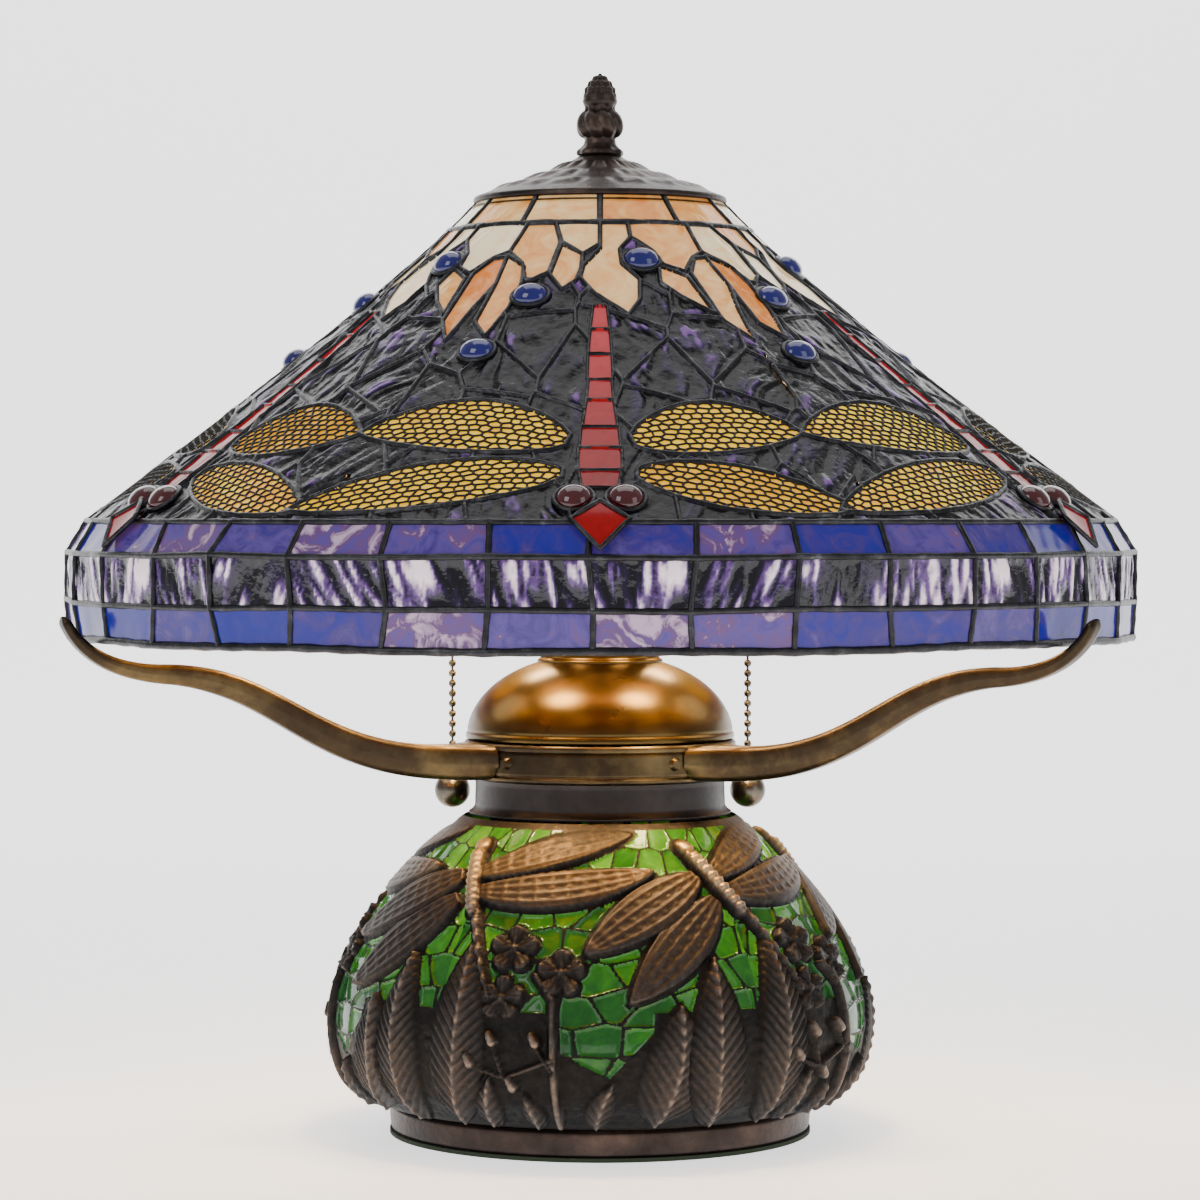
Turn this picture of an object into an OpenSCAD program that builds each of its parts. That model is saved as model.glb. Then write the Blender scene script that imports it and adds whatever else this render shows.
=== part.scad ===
// Table lamp: a leaded glass shade carried on three arms above a lit mosaic base.
// Millimetres, +Z up. The origin is the centre of the felt's underside, on the lamp's axis.
// Azimuths turn anticlockwise from +X, and the lamp's front looks along -Y.

/* [Base] */
// Outer radius of the foot
foot_r = 81; // [68:1:97]
// Height of the foot with its felt
foot_h = 12; // [11.5:0.5:14]
// Largest radius of the cast base
belly_r = 103.7; // [92:0.1:125]
// Height of the cast base above the foot
casting_h = 109.5; // [91:0.5:132]
// Wall of the cast base
casting_wall = 4; // [3:0.5:5]
// Times the mosaic pattern repeats around the base
base_repeats = 5; // [4:1:6]

/* [Neck and arms] */
// Outer radius of the dark collar on the base
collar_r = 48; // [44:0.5:50]
// Height of the collar
collar_h = 13.9; // [11:0.1:17]
// Outer radius of the band that carries the arms
band_r = 51.5; // [42.5:0.1:62]
// Height of the band
band_h = 14.6; // [12.2:0.1:18]
// Height of the spun dome above the band
dome_h = 30.3; // [27:0.1:36]
// Radius of the dome's neck
neck_r = 22.5; // [18.8:0.1:27]
// Height of the dome's neck
neck_h = 9.7; // [8:0.1:12]
// Rise from the band's middle to the shade's lower edge
arm_rise = 47.6; // [45:0.1:60]
// Width of an arm along its length
arm_w = 8; // [6.6:0.1:10]
// Azimuth of the first arm
arm_azimuth = 205; // [190:1:215]

/* [Rods and fasteners] */
// Radius of the threaded centre rod
rod_r = 5; // [4.1:0.1:6]
// Radius of the riser that the finial screws onto
riser_r = 3; // [2.5:0.1:3.6]
// Clearance between a rod and its holes
rod_gap = 0.25; // [0.15:0.05:0.4]

/* [Shade] */
// Outer radius of the shade's border
shade_r = 203; // [169:1:244]
// Height of the whole shade, without its cap
shade_h = 164.7; // [137:0.1:198]
// Height of the lower border row
row_low_h = 13.5; // [11:0.1:16]
// Height of the middle border row
row_mid_h = 18; // [15:0.1:21.6]
// Height of the upper border row
row_up_h = 11.5; // [9.5:0.1:13.8]
// Radius of the opening's outer edge at the shade's top
top_r = 46.5; // [38:0.5:48]
// Thickness of the glass
glass_t = 2.6; // [2:0.1:3.2]
// Thickness of the lead came
came_t = 3.8; // [3.4:0.1:4.6]
// Width of the lead came
came_w = 2.4; // [2:0.1:3.2]
// Panes in one border row
panes = 36; // [30:6:42]
// Dragonflies around the shade
dragonflies = 6; // [6:1:6]

/* [Light] */
// Outer radius of a socket shell
socket_r = 17; // [15.5:0.1:19]
// Largest radius of a bulb
bulb_r = 29; // [24:0.5:31]
// Radius of a bead of the pull chain
bead_r = 1.45; // [1.2:0.05:1.74]
// Radius of the ball on a pull chain
ball_r = 6.9; // [5.8:0.1:7.4]
// Travel of a pull chain
pull_travel = 5; // [4:0.5:5]

/* [Hidden] */
$fn = 64;
fit = 0.05;                       // gap between pieces that seat together
felt_t = 1.5;
foot_ledge_t = 1.8;
plate_t = 1.2;
plate_z = foot_h - foot_ledge_t - plate_t;
foot_bore_r = foot_r - 11;
foot_ledge_r = foot_bore_r - 5;
cord_r = 2.9;                     // bore of the cord bushing
bushing_r = cord_r + 0.7;
cord_z = felt_t + bushing_r + 0.15;

casting_top_r = band_r;
casting_top_z = foot_h + casting_h;
casting_flange_t = 3;
belly_z = foot_h + 30;
shoulder_run = 32;                // the shoulder falls at a fixed slope, so the balls stay clear of it
shoulder_drop = 29;
collar_z = casting_top_z;
band_z = collar_z + collar_h;
band_mid_z = band_z + band_h / 2;
band_top_z = band_z + band_h;
dome_top_z = band_top_z + dome_h;
neck_top_z = dome_top_z + neck_h;
sheet_t = 1.2;                    // spun and pressed brass sheet
nut_h = 4;
nut_af = 2 * rod_r + 6.5;

shade_z = band_mid_z + arm_rise;
shade_top_z = shade_z + shade_h;
border_in_low = 1.6;
border_in_up = 7.5;
row1_z = shade_z + row_low_h;
row2_z = row1_z + row_mid_h;
row3_z = row2_z + row_up_h;
cone_r = shade_r - border_in_up;
cone_l = norm([cone_r - top_r, shade_top_z - row3_z]);
cone_run = (cone_r - top_r) / cone_l;
cone_fall = (shade_top_z - row3_z) / cone_l;
cone_tilt = atan2(cone_fall, cone_run);
sector = 360 / dragonflies;
crown_start = 4;
crown_s = 14;                     // slant distances from the shade's top: crown row, petals, field
petal_s = 56;
crown_panes = 12;
petals = 24;
came_half = came_w / 2;

cap_r = top_r + 1.9;
cap_h = 18.6;
cap_skirt = 4;
cap_z = shade_top_z - 1.2;
cap_top_z = cap_z + cap_h;
finial_z = cap_top_z + 0.2;
finial_h = 31;
riser_top_z = finial_z + 14;

socket_z = neck_top_z + nut_h + socket_r + 12;
cluster_r = 13;
cluster_h = socket_r + 23;
socket_x = cluster_r + 2;
cap_l = 16;
shell_l = 34;
bulb_x = socket_x + cap_l + shell_l;
base_r = 13;                      // the bulb's screw base
screw_r = base_r + 0.4;
bulb_l = 80;

chain_x = 57.5;
chain_out = 12.02;                // from the band out to the chain
chain_clear = 10;                 // from the socket's shell out to the chain
chain_y = max(socket_r + chain_clear, sqrt(max(0, (band_r + chain_out) ^ 2 - chain_x ^ 2)));
bead_pitch = 2.7 * bead_r;
link_r = 0.45;
link_gap = 0.25;                  // between the lead's last link and the bead that the chain swings on
ball_sink = 4.9;                  // a pulled ball's underside passes this far below the base's rim, beside its shoulder
ball_z = casting_top_z + pull_travel + ball_r - ball_sink;
guide_r = bead_r + 1.7;
guide_bore_r = bead_r + 0.5;
guide_low_z = socket_z - 7;
guide_high_z = socket_z + 2;
swing_z = guide_low_z - 3;
stop_r = guide_bore_r + 0.8;
chain_n = floor((swing_z - ball_z - ball_r - 3) / bead_pitch);

// ---- Curves and outlines ----

function bezier(a, b, c, d, n = 16) = [
  for (i = [0 : n]) let (t = i / n, u = 1 - t)
    u * u * u * a + 3 * u * u * t * b + 3 * u * t * t * c + t * t * t * d
];
// Two curves end to end, where the second starts at the first one's last point
function joined(p, q) = concat(p, [for (i = [1 : len(q) - 1]) q[i]]);
function reversed(p) = [for (i = [len(p) - 1 : -1 : 0]) p[i]];
function normal_at(p, i) =
  let (a = p[max(i - 1, 0)], b = p[min(i + 1, len(p) - 1)], d = b - a)
    [-d[1], d[0]] / norm(d);
// A line moved to its left by w, or by w[i] at each of its points
function beside(p, w) = [
  for (i = [0 : len(p) - 1]) p[i] + normal_at(p, i) * (is_list(w) ? w[i] : w)
];
function wall_outline(p, t) = concat(p, reversed(beside(p, t)));
function leaf(l, w, n = 7) = concat(
  [for (i = [0 : n]) [l * i / n, w * sin(180 * pow(i / n, 0.75))]],
  [for (i = [n - 1 : -1 : 1]) [l * i / n, -w * sin(180 * pow(i / n, 0.75))]]
);

module hex_nut(af, h, bore_r) {
  difference() {
    cylinder(r = af / sqrt(3), h = h, $fn = 6);
    translate([0, 0, -1]) cylinder(r = bore_r, h = h + 2);
  }
}
module ring(outer_r, inner_r, h) {
  difference() {
    cylinder(r = outer_r, h = h);
    translate([0, 0, -1]) cylinder(r = inner_r, h = h + 2);
  }
}

// ---- Foot ----

module felt_pad() {
  color("darkolivegreen") cylinder(r = foot_r - 0.5, h = felt_t);
}
module foot_ring() {
  color([0.16, 0.12, 0.11])
  difference() {
    rotate_extrude() polygon([
      [foot_bore_r, felt_t], [foot_r - 1.5, felt_t], [foot_r - 0.6, felt_t + 1],
      [foot_r, foot_h - 1.5], [foot_r - 1, foot_h],
      [foot_ledge_r, foot_h], [foot_ledge_r, foot_h - foot_ledge_t],
      [foot_bore_r, foot_h - foot_ledge_t]
    ]);
    translate([0, foot_bore_r - 5, cord_z]) rotate([-90, 0, 0])
      cylinder(r = bushing_r + fit, h = 30);
  }
}
module base_plate() {
  color("silver") translate([0, 0, plate_z]) ring(foot_bore_r - 0.2, rod_r + rod_gap, plate_t - fit);
}
module rod_washer() {
  color("silver") translate([0, 0, plate_z - 1.5]) ring(2.4 * rod_r, rod_r + rod_gap, 1.5 - fit);
}
module rod_nut() {
  color("goldenrod") translate([0, 0, plate_z - 1.5 - nut_h]) hex_nut(nut_af, nut_h - fit, rod_r + fit);
}
module cord_bushing() {
  flange_r = bushing_r + 0.9;
  color([0.1, 0.1, 0.1]) translate([0, 0, cord_z]) rotate([-90, 0, 0])
  difference() {
    union() {
      translate([0, 0, foot_bore_r - 1]) cylinder(r = bushing_r, h = 13);
      translate([0, 0, foot_r + 0.2]) cylinder(r = flange_r, h = 2);
    }
    translate([0, 0, foot_bore_r - 2]) cylinder(r = cord_r, h = 17);
  }
}

// ---- Cast base with its mosaic ----

belly_line = joined(
  bezier([foot_r - 1, foot_h + fit], [foot_r + 15, foot_h + 1], [belly_r, foot_h + 14], [belly_r, belly_z], 12),
  bezier([belly_r, belly_z], [belly_r, belly_z + (casting_top_z - belly_z) * 0.4],
         [casting_top_r + shoulder_run, casting_top_z - shoulder_drop],
         [casting_top_r, casting_top_z - 0.5], 18)
);
// Mosaic windows of one repeat: [azimuth, height] corners
window_a = [[4, 74], [16, 66], [20, 54], [12, 30], [4, 34], [-2, 54]];
window_b = [[-24, 62], [-16, 72], [-10, 56], [-20, 40]];
window_c = [[-30, 100], [-12, 105], [-10, 96], [-26, 88]];
window_d = [[14, 98], [32, 92], [26, 84], [12, 90]];
windows = [window_a, window_b, window_c, window_d];
function window_scale(v) = [v[0] * 5 / base_repeats, foot_h + (v[1] - 12) * casting_h / 109.5];

module casting_wall_solid(outer_in, t) {
  rotate_extrude() polygon(wall_outline(beside(belly_line, outer_in), t));
}
module window_prism(w, margin = 0) {
  pts = [for (v = w) window_scale(v)];
  mid = [for (k = [0, 1]) (max([for (v = pts) v[k]]) + min([for (v = pts) v[k]])) / 2];
  flat = [for (v = pts) [(v[0] - mid[0]) * PI / 180 * belly_r * 0.9, v[1] - mid[1]]];
  grow = [for (v = flat) v * (1 + margin / max(norm(v), 1))];
  rotate([0, 0, mid[0]]) translate([30, 0, mid[1]]) rotate([90, 0, 90])
    linear_extrude(belly_r) polygon(grow);
}
module each_window(margin = 0) {
  for (k = [0 : base_repeats - 1], w = windows)
    rotate([0, 0, 270 + k * 360 / base_repeats]) window_prism(w, margin);
}
module base_casting() {
  color([0.24, 0.19, 0.18])
  difference() {
    union() {
      casting_wall_solid(0, casting_wall);
      translate([0, 0, foot_h + fit]) ring(foot_r - 2, foot_ledge_r, casting_flange_t);
      translate([0, 0, casting_top_z - casting_flange_t]) ring(casting_top_r - 1, rod_r + rod_gap, casting_flange_t);
    }
    each_window();
  }
}
module mosaic_glass() {
  color([0.25, 0.6, 0.15])
  intersection() {
    casting_wall_solid(0.8, glass_t);
    each_window(-0.15);
  }
}

// ---- Night light inside the base ----

night_x = 30;
night_z = foot_h + 16;
module night_light_bracket() {
  color("silver")
  difference() {
    union() {
      translate([0, 0, night_z]) cylinder(r = rod_r + 5, h = 2);
      translate([0, -6, night_z]) cube([night_x, 12, 2]);
      translate([night_x, 0, night_z]) cylinder(r = 10, h = 2);
    }
    translate([0, 0, night_z - 1]) cylinder(r = rod_r + rod_gap, h = 4);
  }
}
module night_light_socket() {
  color("ivory") translate([night_x, 0, night_z + 2 + fit])
  difference() {
    cylinder(r = 9, h = 26);
    translate([0, 0, 6]) cylinder(r = 6.4, h = 30);
  }
}
module night_light_base() {
  color("silver") translate([night_x, 0, night_z + 9]) cylinder(r = 6.2, h = 21);
}
module night_light_bulb() {
  color("white", 0.6) translate([night_x, 0, night_z + 30 + fit]) rotate_extrude() polygon(concat(
    [[0, 0], [5.5, 0]], bezier([5.5, 0], [13, 8], [12, 20], [0, 34], 12)));
}

// ---- Collar, band, dome and centre rod ----

module neck_collar() {
  color([0.2, 0.19, 0.21]) rotate_extrude() polygon([
    [rod_r + rod_gap, collar_z + fit], [collar_r + 1.5, collar_z + fit], [collar_r + 1.2, collar_z + 1.2],
    [collar_r, collar_z + 2.5], [collar_r - 0.3, band_z - 1], [collar_r - 0.6, band_z],
    [collar_r - 8, band_z], [collar_r - 8, collar_z + 3], [rod_r + rod_gap, collar_z + 3]
  ]);
}
module arm_band() {
  lip = 1.6;
  color([0.32, 0.22, 0.17]) rotate_extrude() polygon([
    [band_r - 12, band_z + fit], [band_r, band_z + fit], [band_r + 0.4, band_z + lip],
    [band_r - 0.4, band_z + lip + 0.6], [band_r - 0.4, band_top_z - lip - 1.4],
    [band_r + 0.5, band_top_z - lip], [band_r + 0.5, band_top_z - 0.5], [band_r, band_top_z],
    [rod_r + rod_gap, band_top_z], [rod_r + rod_gap, band_top_z - 2.5],
    [band_r - 5, band_top_z - 2.5], [band_r - 5, band_z + 2.5], [band_r - 12, band_z + 2.5]
  ]);
}

// An arm's side view: its middle line runs out from the band, climbs in an S and turns up past the shade's edge
arm_root = [band_r + 0.6, band_mid_z];
edge_r = shade_r - 1;
arm_knee = [edge_r - 30, shade_z - 12.9];
arm_tip = [shade_r + 10.5, shade_z + 8.5];
arm_run = arm_knee[0] - arm_root[0];
arm_line = joined(
  bezier(arm_root, [arm_root[0] + 0.55 * arm_run, band_mid_z - 2.6],
         [arm_root[0] + 0.62 * arm_run, arm_knee[1] - 3.8], arm_knee, 20),
  bezier(arm_knee, arm_knee + [18, 0.6], [shade_r + 4, shade_z - 7.2], arm_tip, 12)
);
arm_half = [for (i = [0 : len(arm_line) - 1]) let (t = i / (len(arm_line) - 1))
  t < 0.62 ? 7.2 - 4.2 * t : 4.6 - 7.6 * (t - 0.62)];
saddle_w = 16;

module arm(azimuth) {
  side = concat(beside(arm_line, arm_half), reversed(beside(arm_line, -arm_half)));
  foot_side = bezier([arm_root[0] - 6, saddle_w], [arm_root[0] + 2, saddle_w - 5],
                     [arm_root[0] + 6, arm_w / 2], [arm_root[0] + 34, arm_w / 2], 10);
  plan = concat([[arm_root[0] - 8, saddle_w]], foot_side, [[arm_tip[0] + 6, arm_w / 2 - 0.4]]);
  color([0.36, 0.24, 0.16]) rotate([0, 0, azimuth])
  difference() {
    intersection() {
      rotate([90, 0, 0]) linear_extrude(2 * saddle_w + 4, center = true)
        polygon(concat([[arm_root[0] - 8, band_mid_z + 7.2]], side, [[arm_root[0] - 8, band_mid_z - 7.2]]));
      translate([0, 0, band_z - 20]) linear_extrude(arm_rise + 80)
        polygon(concat(plan, [for (p = reversed(plan)) [p[0], -p[1]]]));
    }
    translate([0, 0, band_z - 5]) cylinder(r = band_r + 0.6, h = band_h + 10);
  }
}
module arm_screws() {
  color([0.3, 0.22, 0.16])
  for (k = [0 : 2], s = [-1, 1]) rotate([0, 0, arm_azimuth + 120 * k + s * 22])
    translate([band_r - 0.3, 0, band_mid_z]) rotate([0, 90, 0]) cylinder(r1 = 2.6, r2 = 1.6, h = 1.6);
}
module dome() {
  line = concat(
    [[band_r - 0.2, band_top_z + fit], [band_r - 0.2, band_top_z + 1.4]],
    [for (a = [4 : 6 : 64]) [(band_r - 0.4) * cos(a), band_top_z + 1 + (dome_h + 1.5) * sin(a)]],
    [[neck_r + 1.4, dome_top_z - 0.3], [neck_r, dome_top_z + 0.8], [neck_r, neck_top_z - 4],
     [neck_r + 1, neck_top_z - 3.2], [neck_r + 1, neck_top_z - 1.6], [neck_r - 0.2, neck_top_z - 0.6]]
  );
  color([0.62, 0.4, 0.16]) rotate_extrude() polygon(concat(
    line, [[neck_r - 1, neck_top_z], [rod_r + rod_gap, neck_top_z], [rod_r + rod_gap, neck_top_z - sheet_t]],
    [[neck_r - 1.5, neck_top_z - sheet_t], [neck_r - sheet_t, neck_top_z - 3], [neck_r - sheet_t, dome_top_z + 0.3]],
    [for (a = [64 : -6 : 4]) [(band_r - 0.4 - sheet_t) * cos(a), band_top_z + 1 + (dome_h + 1.5 - sheet_t) * sin(a)]],
    [[band_r - 0.2 - sheet_t, band_top_z + fit]]
  ));
}
module dome_nut() {
  color("goldenrod") translate([0, 0, neck_top_z + fit]) hex_nut(nut_af, nut_h - 2 * fit, rod_r + fit);
}
module centre_rod() {
  wire_bore_r = rod_r - 1.6;
  bottom = plate_z - 1.5 - nut_h;
  color("goldenrod") translate([0, 0, bottom])
    ring(rod_r, wire_bore_r, neck_top_z + nut_h + 8 - bottom);
}

// ---- Light cluster ----

module cluster_body() {
  bottom = neck_top_z + nut_h;
  color([0.5, 0.35, 0.16])
  difference() {
    union() {
      translate([0, 0, bottom]) cylinder(r = cluster_r, h = cluster_h);
      for (s = [-1, 1]) translate([0, 0, socket_z]) rotate([0, s * 90, 0]) cylinder(r = 5, h = socket_x - fit);
    }
    translate([0, 0, bottom - 1]) cylinder(r = rod_r + fit, h = 10);
    translate([0, 0, bottom + 8]) cylinder(r = cluster_r - 2.5, h = cluster_h - 10);
  }
}
module cluster_lid() {
  z = neck_top_z + nut_h + cluster_h + fit;
  color([0.5, 0.35, 0.16]) translate([0, 0, z]) difference() {
    union() {
      cylinder(r = cluster_r + 1, h = 2);
      translate([0, 0, 2]) cylinder(r1 = 8, r2 = 5.5, h = 5);
    }
    translate([0, 0, -1]) cylinder(r = riser_r + fit, h = 10);
  }
}
module riser_rod() {
  bottom = neck_top_z + nut_h + cluster_h + fit;
  color("goldenrod") translate([0, 0, bottom]) cylinder(r = riser_r, h = riser_top_z - bottom);
}
module at_socket(side) {
  translate([0, 0, socket_z]) rotate([0, side * 90, 0]) children();
}
module socket_cap(side) {
  color([0.7, 0.5, 0.2]) at_socket(side) translate([0, 0, socket_x]) rotate_extrude() polygon([
    [4, 0], [8, 0], [14, 4], [socket_r, 10], [socket_r, cap_l - fit], [socket_r - sheet_t, cap_l - fit],
    [socket_r - sheet_t, 10.5], [13, 5.2], [8, sheet_t], [4, sheet_t]
  ]);
}
module socket_shell(side) {
  color([0.75, 0.55, 0.22]) at_socket(side) translate([0, 0, socket_x + cap_l]) difference() {
    union() {
      cylinder(r = socket_r - 0.6, h = shell_l - 2);
      translate([0, 0, shell_l - 2]) cylinder(r = socket_r, h = 2);
      cylinder(r = socket_r, h = 1.5);
    }
    translate([0, 0, -1]) cylinder(r = socket_r - 0.6 - sheet_t, h = shell_l + 2);
  }
}
module socket_core(side) {
  color("ivory") at_socket(side) translate([0, 0, socket_x + cap_l - 4])
    cylinder(r = screw_r + 0.6, h = 12);
}
module screw_shell(side) {
  color("goldenrod") at_socket(side) translate([0, 0, socket_x + cap_l + 8 + fit])
    ring(screw_r + 0.5, screw_r, shell_l - 9);
}
module bulb_base(side) {
  color("silver") at_socket(side) translate([0, 0, socket_x + cap_l + 9]) union() {
    translate([0, 0, 2]) cylinder(r = base_r, h = shell_l - 9 - fit);
    cylinder(r1 = 5, r2 = 9, h = 2);
  }
}
module bulb_glass(side) {
  round_x = bulb_l - bulb_r;
  color("white", 0.6) at_socket(side) translate([0, 0, bulb_x + 2]) rotate_extrude() polygon(concat(
    [[0, 0], [base_r - 0.5, 0]],
    bezier([base_r - 0.5, 0], [base_r, 18], [bulb_r, 26], [bulb_r, round_x], 12),
    [for (a = [6 : 6 : 90]) [bulb_r * cos(a), round_x + bulb_r * sin(a)]]
  ));
}
module chain_guide(side) {
  shell_y = socket_r - 0.55;
  color([0.75, 0.55, 0.22]) difference() {
    union() {
      translate([side * chain_x, chain_y, guide_low_z]) cylinder(r = guide_r, h = guide_high_z - guide_low_z);
      translate([side * chain_x, shell_y, socket_z - 1.5]) rotate([-90, 0, 0])
        cylinder(r = 2.4, h = chain_y - shell_y);
    }
    translate([side * chain_x, chain_y, guide_low_z - 1])
      cylinder(r = guide_bore_r, h = guide_high_z - guide_low_z + 2);
    at_socket(side) translate([0, 0, socket_x]) cylinder(r = socket_r - 0.55, h = 60);
  }
}

// ---- Pull chains ----

module beads(x, top, n) {
  for (i = [0 : n - 1]) translate([x, chain_y, top - i * bead_pitch]) sphere(r = bead_r, $fn = 24);
}
module links(x, low, high) {
  translate([x, chain_y, low]) cylinder(r = link_r, h = high - low, $fn = 16);
}
module chain_lead(side) {
  top = guide_high_z + pull_travel + stop_r;
  n = floor((top - stop_r - swing_z) / bead_pitch);
  color("silver") {
    translate([side * chain_x, chain_y, top]) sphere(r = stop_r, $fn = 24);
    links(side * chain_x, swing_z + bead_r + link_gap, top);
    beads(side * chain_x, swing_z + n * bead_pitch, n);
  }
}
module pull_chain(side) {
  color("silver") {
    links(side * chain_x, swing_z - chain_n * bead_pitch, swing_z);
    beads(side * chain_x, swing_z, chain_n);
  }
}
module pull_ball(side) {
  top = swing_z - chain_n * bead_pitch - fit;
  color([0.35, 0.3, 0.26]) {
    translate([side * chain_x, chain_y, ball_z]) sphere(r = ball_r);
    translate([side * chain_x, chain_y, ball_z]) cylinder(r = 2, h = top - ball_z);
  }
}

// ---- Shade ----

function slant(s) = [top_r + s * cone_run, shade_top_z - s * cone_fall];
function pushed_out(p, d) = p + d * [cone_fall, cone_run];

// A frame on the cone: x runs down the slant, y round the shade and z out of the glass
module on_cone(azimuth, s) {
  p = slant(s);
  rotate([0, 0, azimuth]) translate([p[0], 0, p[1]]) rotate([0, cone_tilt, 0]) children();
}
module cone_band(s0, s1, out, t, angle = 360) {
  rotate_extrude(angle = angle) polygon([
    pushed_out(slant(s0), out), pushed_out(slant(s1), out),
    pushed_out(slant(s1), out - t), pushed_out(slant(s0), out - t)
  ]);
}
module cone_sectors(s0, s1, n, gap_w) {
  gap = gap_w / slant(s0)[0] * 180 / PI;
  for (i = [0 : n - 1]) rotate([0, 0, (i + 0.5) * 360 / n + 270 + gap / 2])
    cone_band(s0, s1, 0, glass_t, 360 / n - gap);
}
// One wing's prism, through the cone's wall. grow widens it for the window that it seats in
wing_half = 9.6;
module wing(azimuth, side, upper, grow = 0) {
  s = (upper ? 0.715 : 0.905) * cone_l;
  turn = upper ? -10 : 12;      // upper wings rise towards their tips, and lower ones fall
  l = slant(s)[0] * (sector * 0.41) * PI / 180;
  on_cone(azimuth + side * sector * 0.26, s)
    rotate([0, 0, side * (90 + turn)])
      translate([-l / 2 - grow, 0, -15]) linear_extrude(30)
        polygon(leaf(l + 2 * grow, wing_half + grow));
}
module each_wing(grow = 0) {
  for (k = [0 : dragonflies - 1], side = [-1, 1], upper = [true, false])
    wing(270 + k * sector, side, upper, grow);
}
// A dragonfly's body is a row of flat panes down the cone: [from, to, half width at top, half width at bottom]
body_rows = [
  [0.345, 0.415, 1.4, 2.6], [0.425, 0.495, 2.6, 3.2], [0.505, 0.565, 3.2, 3.5], [0.575, 0.63, 3.2, 3.8],
  [0.64, 0.71, 3.8, 4.8], [0.72, 0.775, 5.2, 6], [0.785, 0.84, 6.2, 6.4], [0.85, 0.872, 6.2, 5.8]
];
body_s = 0.33;
head_s = 0.94;
module body_pane(azimuth, row, t, grow) {
  s0 = row[0] * cone_l;
  l = (row[1] - row[0]) * cone_l;
  on_cone(azimuth, s0) translate([0, 0, -t]) linear_extrude(t)
    polygon([[-grow, -row[2] - grow], [l + grow, -row[3] - grow], [l + grow, row[3] + grow], [-grow, row[2] + grow]]);
}
jewel_places = [[10, 0.22], [-15.5, 0.33], [-21, 0.46]];
jewel_r = 6;
eye_r = 5;
eye_s = 0.905;
eye_turn = 1.9;
set_gap = 0.5;
module cabochon(azimuth, s, r, h) {
  ball = (r * r + h * h) / (2 * h);
  on_cone(azimuth, s) intersection() {
    translate([0, 0, h - ball]) sphere(r = ball);
    translate([0, 0, -glass_t]) cylinder(r = r, h = glass_t + h + 1);
  }
}
// The long opening in the field that a dragonfly's panes and their leads fill
module body_prism(azimuth, grow) {
  l = (1 - body_s) * cone_l;
  eye_x = (eye_s - body_s) * cone_l - eye_r / 2;
  wide = slant(eye_s * cone_l)[0] * sin(eye_turn) + eye_r + 0.4;
  on_cone(azimuth, body_s * cone_l) translate([0, 0, -15]) linear_extrude(30)
    polygon([
      [-grow, -3.6 - grow], [0.6 * l, -6.2 - grow], [eye_x - eye_r, -6.8 - grow], [eye_x, -wide - grow],
      [l + grow, -wide - grow], [l + grow, wide + grow], [eye_x, wide + grow],
      [eye_x - eye_r, 6.8 + grow], [0.6 * l, 6.2 + grow], [-grow, 3.6 + grow]
    ]);
}
// Everything that is set into the field, as prisms through its wall: wings, dragonflies and jewels
module settings(grow) {
  for (k = [0 : dragonflies - 1]) {
    body_prism(270 + k * sector, grow);
    jewel_prisms(270 + k * sector, grow);
  }
  each_wing(grow);
}
module jewel_prisms(azimuth, grow) {
  for (j = jewel_places) on_cone(azimuth + j[0], j[1] * cone_l) translate([0, 0, -15])
    cylinder(r = jewel_r + grow, h = 30);
}
module field_glass() {
  color([0.25, 0.2, 0.38]) difference() {
    cone_sectors(petal_s + came_half + fit, cone_l - came_half - fit, dragonflies, came_w + fit);
    settings(set_gap);
  }
}
module wing_glass() {
  color([0.85, 0.7, 0.25]) intersection() {
    cone_band(petal_s + came_half + 2, cone_l - came_half - 0.2, 0, glass_t);
    each_wing();
  }
}
module dragonfly_panes(azimuth, t, grow) {
  for (row = body_rows) body_pane(azimuth, row, t, grow);
  on_cone(azimuth, head_s * cone_l) translate([0, 0, -t]) linear_extrude(t)
    polygon([
      [-grow, -2 - grow], [4, -8 - grow], [9.5 + grow, -1.2 - grow],
      [9.5 + grow, 1.2 + grow], [4, 8 + grow], [-grow, 2 + grow]
    ]);
}
module dragonfly_bodies() {
  color([0.8, 0.1, 0.12]) for (k = [0 : dragonflies - 1])
    dragonfly_panes(270 + k * sector, glass_t, 0);
}
module eye_jewels() {
  color([0.45, 0.02, 0.06]) for (k = [0 : dragonflies - 1], s = [-1, 1])
    rotate([0, 0, s * eye_turn]) cabochon(270 + k * sector, eye_s * cone_l, eye_r, 4);
}
module blue_jewels() {
  color([0.05, 0.08, 0.5]) for (k = [0 : dragonflies - 1], j = jewel_places)
    cabochon(270 + k * sector + j[0], j[1] * cone_l, jewel_r, 4);
}
module crown_glass() {
  color([0.95, 0.8, 0.6]) cone_sectors(crown_start, crown_s - came_half - fit, crown_panes, came_w + fit);
}
module petal_glass() {
  color([0.95, 0.75, 0.5]) difference() {
    cone_sectors(crown_s + came_half + fit, petal_s - came_half - fit, petals, came_w + fit);
    for (k = [0 : dragonflies - 1]) jewel_prisms(270 + k * sector, set_gap);
  }
}
module came_bars(n, s0, s1) {
  out = (came_t - glass_t) / 2;
  for (i = [0 : n - 1]) on_cone(270 + (i + 0.5) * 360 / n, s0)
    translate([0, -came_half, out - came_t]) cube([s1 - s0, came_w, came_t]);
}
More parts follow.
